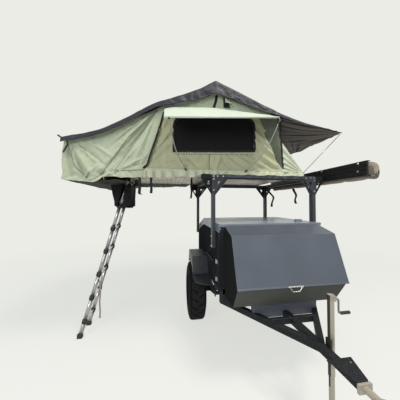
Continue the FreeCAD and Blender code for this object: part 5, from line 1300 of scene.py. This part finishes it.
def gusset_plate(x, way, side):
    """One face plate with its window, as a bmesh."""
    part = bmesh.new()
    for loop in (GUSSET, GUSSET_WINDOW):
        verts = [part.verts.new(at(x, y * side, z)) for y, z in loop]
        for a, b in zip(verts, verts[1:] + verts[:1]):
            part.edges.new((a, b))
    bmesh.ops.triangle_fill(part, edges=part.edges, use_beauty=True, use_dissolve=False)
    facing(part, (way, 0, 0))
    made = bmesh.ops.extrude_face_region(part, geom=part.faces)
    for item in made["geom"]:
        if isinstance(item, bmesh.types.BMVert):
            item.co.x += way * GUSSET_THICKNESS
    bmesh.ops.recalc_face_normals(part, faces=part.faces)
    return part


def gusset_faces():
    """Face plates and bolts over the gussets, and a bolted bracket beside each."""
    plates, bolts = bmesh.new(), bmesh.new()
    for side in (1, -1):
        for x, way in ((0.7885, 1), (-0.6785, -1)):
            take_in(plates, as_mesh("gusset", gusset_plate(x, way, side)))
            face = x + way * GUSSET_THICKNESS
            bolt_heads(bolts, [(at(face, y * side, z), (way, 0, 0)) for y, z in GUSSET_BOLTS], BOLT)
            low, high = sorted((0.658 * side, 0.726 * side))
            deep = sorted((x - way * 0.045, x + way * 0.001))
            block(plates, at(deep[0], low, 1.874), at(deep[1], high, 1.924), 0.010)
            bolt_heads(bolts, [(at(x + way * 0.001, 0.692 * side, 1.888), (way, 0, 0))], 0.008)
    new_piece("gusset_faces", plates, [FINISH["gusset"]], "frame", smooth=False)
    new_piece("gusset_bolts", bolts, [FINISH["steel"]], "frame", smooth=False)


def rack_fittings():
    """Bolts at the posts' feet and behind the awning, and the tub's under-sills."""
    bolts = bmesh.new()
    places = []
    for side in (1, -1):
        for x in (0.750, -0.640):
            for dx, z in ((-0.018, 1.160), (0.018, 1.160), (0.0, 1.270)):
                places.append((at(x + dx, side * 0.651, z), (0, side, 0)))
    for x in (-0.340, 0.200, 0.7445, 1.288):
        for z in (2.045, 1.968):
            places.append((at(x, 0.7695, z), (0, -1, 0)))
    bolt_heads(bolts, places, BOLT)
    new_piece("rack_bolts", bolts, [FINISH["steel"]], "frame", smooth=False)
    sills = bmesh.new()
    for side in (1, -1):
        low, high = sorted((0.5460 * side, 0.6125 * side))
        block(sills, at(0.315, low, 0.700), at(0.900, high, 0.7385), 0.004)
    new_piece("tub_sills", sills, [FINISH["black"]], "frame", smooth=False)


def ladder_fittings():
    """The telescopic ladder's sleeves, collars, treads and feet, with one strap, all on the ladder."""
    foot, top = Vector((0.0, -2.200, 0.0)), Vector((0.0, -1.660, 1.930))
    way = (top - foot).normalized()
    sleeves, collars, treads = bmesh.new(), bmesh.new(), bmesh.new()
    rungs = [FIRST_RUNG + RUNG_PITCH * i for i in range(7)]

    def sleeve(bm, x, low, high, radius):
        a, b = foot + way * low, foot + way * high
        bars(bm, [(at(x, a.y, a.z), at(x, b.y, b.z))], radius, 20)

    for x in (-0.030, 0.270):
        for i, length in enumerate(rungs):
            low = length - RUNG_PITCH + 0.030 if i else 0.055
            sleeve(sleeves, x, low, length - 0.010, 0.0244 - 0.0008 * i)
            if i < 6:
                sleeve(collars, x, length - 0.018, length + 0.026, 0.0300)
        block(collars, at(x - 0.026, -2.224, 0.0), at(x + 0.026, -2.164, 0.052), 0.006)
    for length in rungs[:6]:
        middle = foot + way * length
        low = at(-0.002, middle.y - 0.022, middle.z + 0.010)
        block(treads, low, at(0.242, middle.y + 0.020, middle.z + 0.0165), 0.002)
    new_piece("ladder_sleeves", sleeves, [FINISH["aluminium"]], "ladder")
    new_piece("ladder_collars", collars, [FINISH["plastic"]], "ladder")
    new_piece("ladder_treads", treads, [FINISH["tread"]], "ladder", smooth=False)
    points = [at(0.296, -1.976, 0.690), at(0.304, -1.966, 0.655)]
    points += [at(0.306, -1.962 + 0.004 * math.sin(i * 0.8), 0.620 - 0.032 * i) for i in range(13)]
    band("ladder_strap", points, 0.020, lambda i: Vector((0.2, 1.0, 0.0)).normalized(), (1, 0, 0),
         FINISH["bag"], 0.0016, "ladder")


# Camera and stage
PALE = (0.83, 0.84, 0.79, 1.0)
FLOOR_GLOW = (0.872, 0.882, 0.832, 1.0)
GLOW_STARTS, GLOW_ENDS = 2.5, 9.0


def stage_floor():
    """A wide pale floor that keeps the trailer's shadow and turns into the backdrop farther out."""
    bm = bmesh.new()
    bmesh.ops.create_grid(bm, x_segments=4, y_segments=4, size=60.0)
    floor = placed("floor", as_mesh("floor", bm))
    finish = Finish("floor_pale", 0.9)
    finish.shader.inputs["Base Color"].default_value = (0.74, 0.74, 0.71, 1.0)
    path = finish.node("ShaderNodeLightPath").outputs
    seen = finish.sums("MAXIMUM", path["Is Camera Ray"], path["Is Glossy Ray"])
    away = finish.node("ShaderNodeVectorMath", {0: finish.places}, operation="LENGTH").outputs["Value"]
    share, far = [finish.reach(away, GLOW_STARTS, GLOW_ENDS, low, 1.0, interpolation_type="SMOOTHSTEP")
                  for low in (0.74, 0.0)]
    glow = finish.node("ShaderNodeEmission", {"Color": finish.blend(far, FLOOR_GLOW, PALE)}).outputs[0]
    finish.show(finish.sums("MULTIPLY", seen, share), finish.shader.outputs[0], glow, "Material Output")
    floor.data.materials.append(finish.material)


def stage_world():
    """A pale backdrop for the camera and for reflections, and a dimmer sky as fill light."""
    world = bpy.data.worlds.new("studio")
    bpy.context.scene.world = world
    world.use_nodes = True
    nodes = Nodes(world.node_tree)
    sky = nodes.tree.nodes["Background"]
    sky.inputs["Color"].default_value = (0.86, 0.92, 1.0, 1.0)
    sky.inputs["Strength"].default_value = 0.38
    backdrop = nodes.node("ShaderNodeBackground", {"Color": PALE})
    path = nodes.node("ShaderNodeLightPath").outputs
    seen = nodes.sums("MAXIMUM", path["Is Camera Ray"], path["Is Glossy Ray"])
    seen = nodes.sums("MAXIMUM", seen, path["Is Transmission Ray"])
    nodes.show(seen, sky.outputs[0], backdrop.outputs[0], "World Output")


def stage_lamp(name, place, target, size, power, colour=(1.0, 1.0, 1.0)):
    lamp = bpy.data.lights.new(name, "AREA")
    lamp.shape = "SQUARE"
    lamp.size = size
    lamp.energy = power
    lamp.color = colour
    holder = placed(name, lamp)
    holder.location = at(*place)
    holder.rotation_euler = (at(*target) - at(*place)).to_track_quat("-Z", "Y").to_euler()


def stage_camera():
    """The photograph's camera: its place, turn, focal length and small shift."""
    camera = bpy.data.cameras.new("camera")
    camera.sensor_width = 36.0
    camera.lens = 19.717
    camera.shift_x = -0.0224
    camera.shift_y = -0.0052
    camera.clip_start = 0.05
    holder = placed("camera", camera)
    turn, lift = math.radians(10.058), math.radians(1.466)
    look = Vector((-math.cos(turn) * math.cos(lift), math.sin(turn) * math.cos(lift), math.sin(lift)))
    holder.location = at(3.2215, -1.1190, 1.6411)
    holder.rotation_euler = look.to_track_quat("-Z", "Y").to_euler()
    bpy.context.scene.camera = holder


# The add-on: settings, one operator for each group of pieces, and the panel that lists them
class TrailerColours(bpy.types.PropertyGroup):
    """Colours that a user would change."""

    body: bpy.props.FloatVectorProperty(
        name="Body", description="Paint of the tub and its doors", subtype="COLOR",
        default=(0.017, 0.019, 0.021))
    lid: bpy.props.FloatVectorProperty(
        name="Lids", description="Paint of the top lid and the nose lid", subtype="COLOR",
        default=(0.082, 0.096, 0.118))
    nose: bpy.props.FloatVectorProperty(
        name="Nose box", description="Paint of the nose box", subtype="COLOR",
        default=(0.085, 0.087, 0.077))
    fender: bpy.props.FloatVectorProperty(
        name="Fenders", description="Paint of the fenders", subtype="COLOR",
        default=(0.030, 0.034, 0.040))
    frame: bpy.props.FloatVectorProperty(
        name="Chassis", description="Paint of chassis and drawbar", subtype="COLOR",
        default=(0.016, 0.018, 0.020))
    rack: bpy.props.FloatVectorProperty(
        name="Rack", description="Paint of the rack's posts and beams", subtype="COLOR",
        default=(0.040, 0.044, 0.050))
    canvas: bpy.props.FloatVectorProperty(
        name="Canvas", description="The tent's canvas", subtype="COLOR",
        default=(0.345, 0.380, 0.270))
    fly: bpy.props.FloatVectorProperty(
        name="Fly", description="The fly's outer side", subtype="COLOR",
        default=(0.014, 0.0145, 0.022))
    fly_inside: bpy.props.FloatVectorProperty(
        name="Fly inside", description="The fly's inner side", subtype="COLOR",
        default=(0.175, 0.150, 0.130))
    bag: bpy.props.FloatVectorProperty(
        name="Awning bag", description="Cloth of the awning's bag", subtype="COLOR",
        default=(0.280, 0.235, 0.180))


def colours():
    return bpy.context.scene.trailer_colours


class TRAILER_OT_finishes(bpy.types.Operator):
    """Makes the materials and gives each CAD node its finish"""

    bl_idname = "trailer.finishes"
    bl_label = "Finishes"

    def execute(self, context):
        make_finishes(colours())
        finish_frame()
        return {"FINISHED"}


class TRAILER_OT_tent(bpy.types.Operator):
    """Adds the tent's walls, windows, rods, roof and annex"""

    bl_idname = "trailer.tent"
    bl_label = "Tent"

    def execute(self, context):
        tent_ends()
        window_nets()
        vent_flap()
        tent_rods()
        tent_roof()
        tent_left_end()
        tent_right_end()
        annex_ends()
        annex_skin()
        annex_floor()
        return {"FINISHED"}


class TRAILER_OT_fly(bpy.types.Operator):
    """Adds the fly and the window awnings"""

    bl_idname = "trailer.fly"
    bl_label = "Fly"

    def execute(self, context):
        fly()
        window_awnings()
        return {"FINISHED"}


class TRAILER_OT_soft_bags(bpy.types.Operator):
    """Adds the ladder's skirt, the awning's bag and the loose straps"""

    bl_idname = "trailer.soft_bags"
    bl_label = "Skirt and bag"

    def execute(self, context):
        ladder_skirt()
        awning_bag()
        hanging_straps()
        return {"FINISHED"}


class TRAILER_OT_fittings(bpy.types.Operator):
    """Adds gusset faces, bolts, sills and the ladder's fittings"""

    bl_idname = "trailer.fittings"
    bl_label = "Fittings"

    def execute(self, context):
        gusset_faces()
        rack_fittings()
        ladder_fittings()
        return {"FINISHED"}


class TRAILER_OT_stage(bpy.types.Operator):
    """Adds the floor, the backdrop, the lamps and the camera"""

    bl_idname = "trailer.stage"
    bl_label = "Stage"

    def execute(self, context):
        scene = context.scene
        scene.view_settings.view_transform = "Standard"
        stage_floor()
        stage_world()
        stage_lamp("key", (3.6, 1.6, 8.2), (0.3, -0.6, 1.8), 2.2, 620.0, (1.0, 0.97, 0.92))
        stage_lamp("side", (5.5, -4.2, 3.4), (0.2, -0.8, 2.0), 2.4, 210.0, (0.94, 0.97, 1.0))
        stage_camera()
        return {"FINISHED"}


OPERATORS = (TRAILER_OT_finishes, TRAILER_OT_tent, TRAILER_OT_fly, TRAILER_OT_soft_bags, TRAILER_OT_fittings,
             TRAILER_OT_stage)


class TRAILER_PT_panel(bpy.types.Panel):
    """Lists the trailer's groups of pieces."""

    bl_idname = "TRAILER_PT_panel"
    bl_label = "Trailer"
    bl_space_type = "VIEW_3D"
    bl_region_type = "UI"
    bl_category = "Trailer"

    def draw(self, context):
        for operator in OPERATORS:
            self.layout.operator(operator.bl_idname)
        for name in TrailerColours.__annotations__:
            self.layout.prop(colours(), name)


CLASSES = (TrailerColours, *OPERATORS, TRAILER_PT_panel)


def register():
    for kind in CLASSES:
        bpy.utils.register_class(kind)
    bpy.types.Scene.trailer_colours = bpy.props.PointerProperty(type=TrailerColours)


def unregister():
    del bpy.types.Scene.trailer_colours
    for kind in reversed(CLASSES):
        bpy.utils.unregister_class(kind)


def main():
    register()
    for operator in OPERATORS:
        group, name = operator.bl_idname.split(".")
        getattr(getattr(bpy.ops, group), name)()


if __name__ == "__main__":
    main()
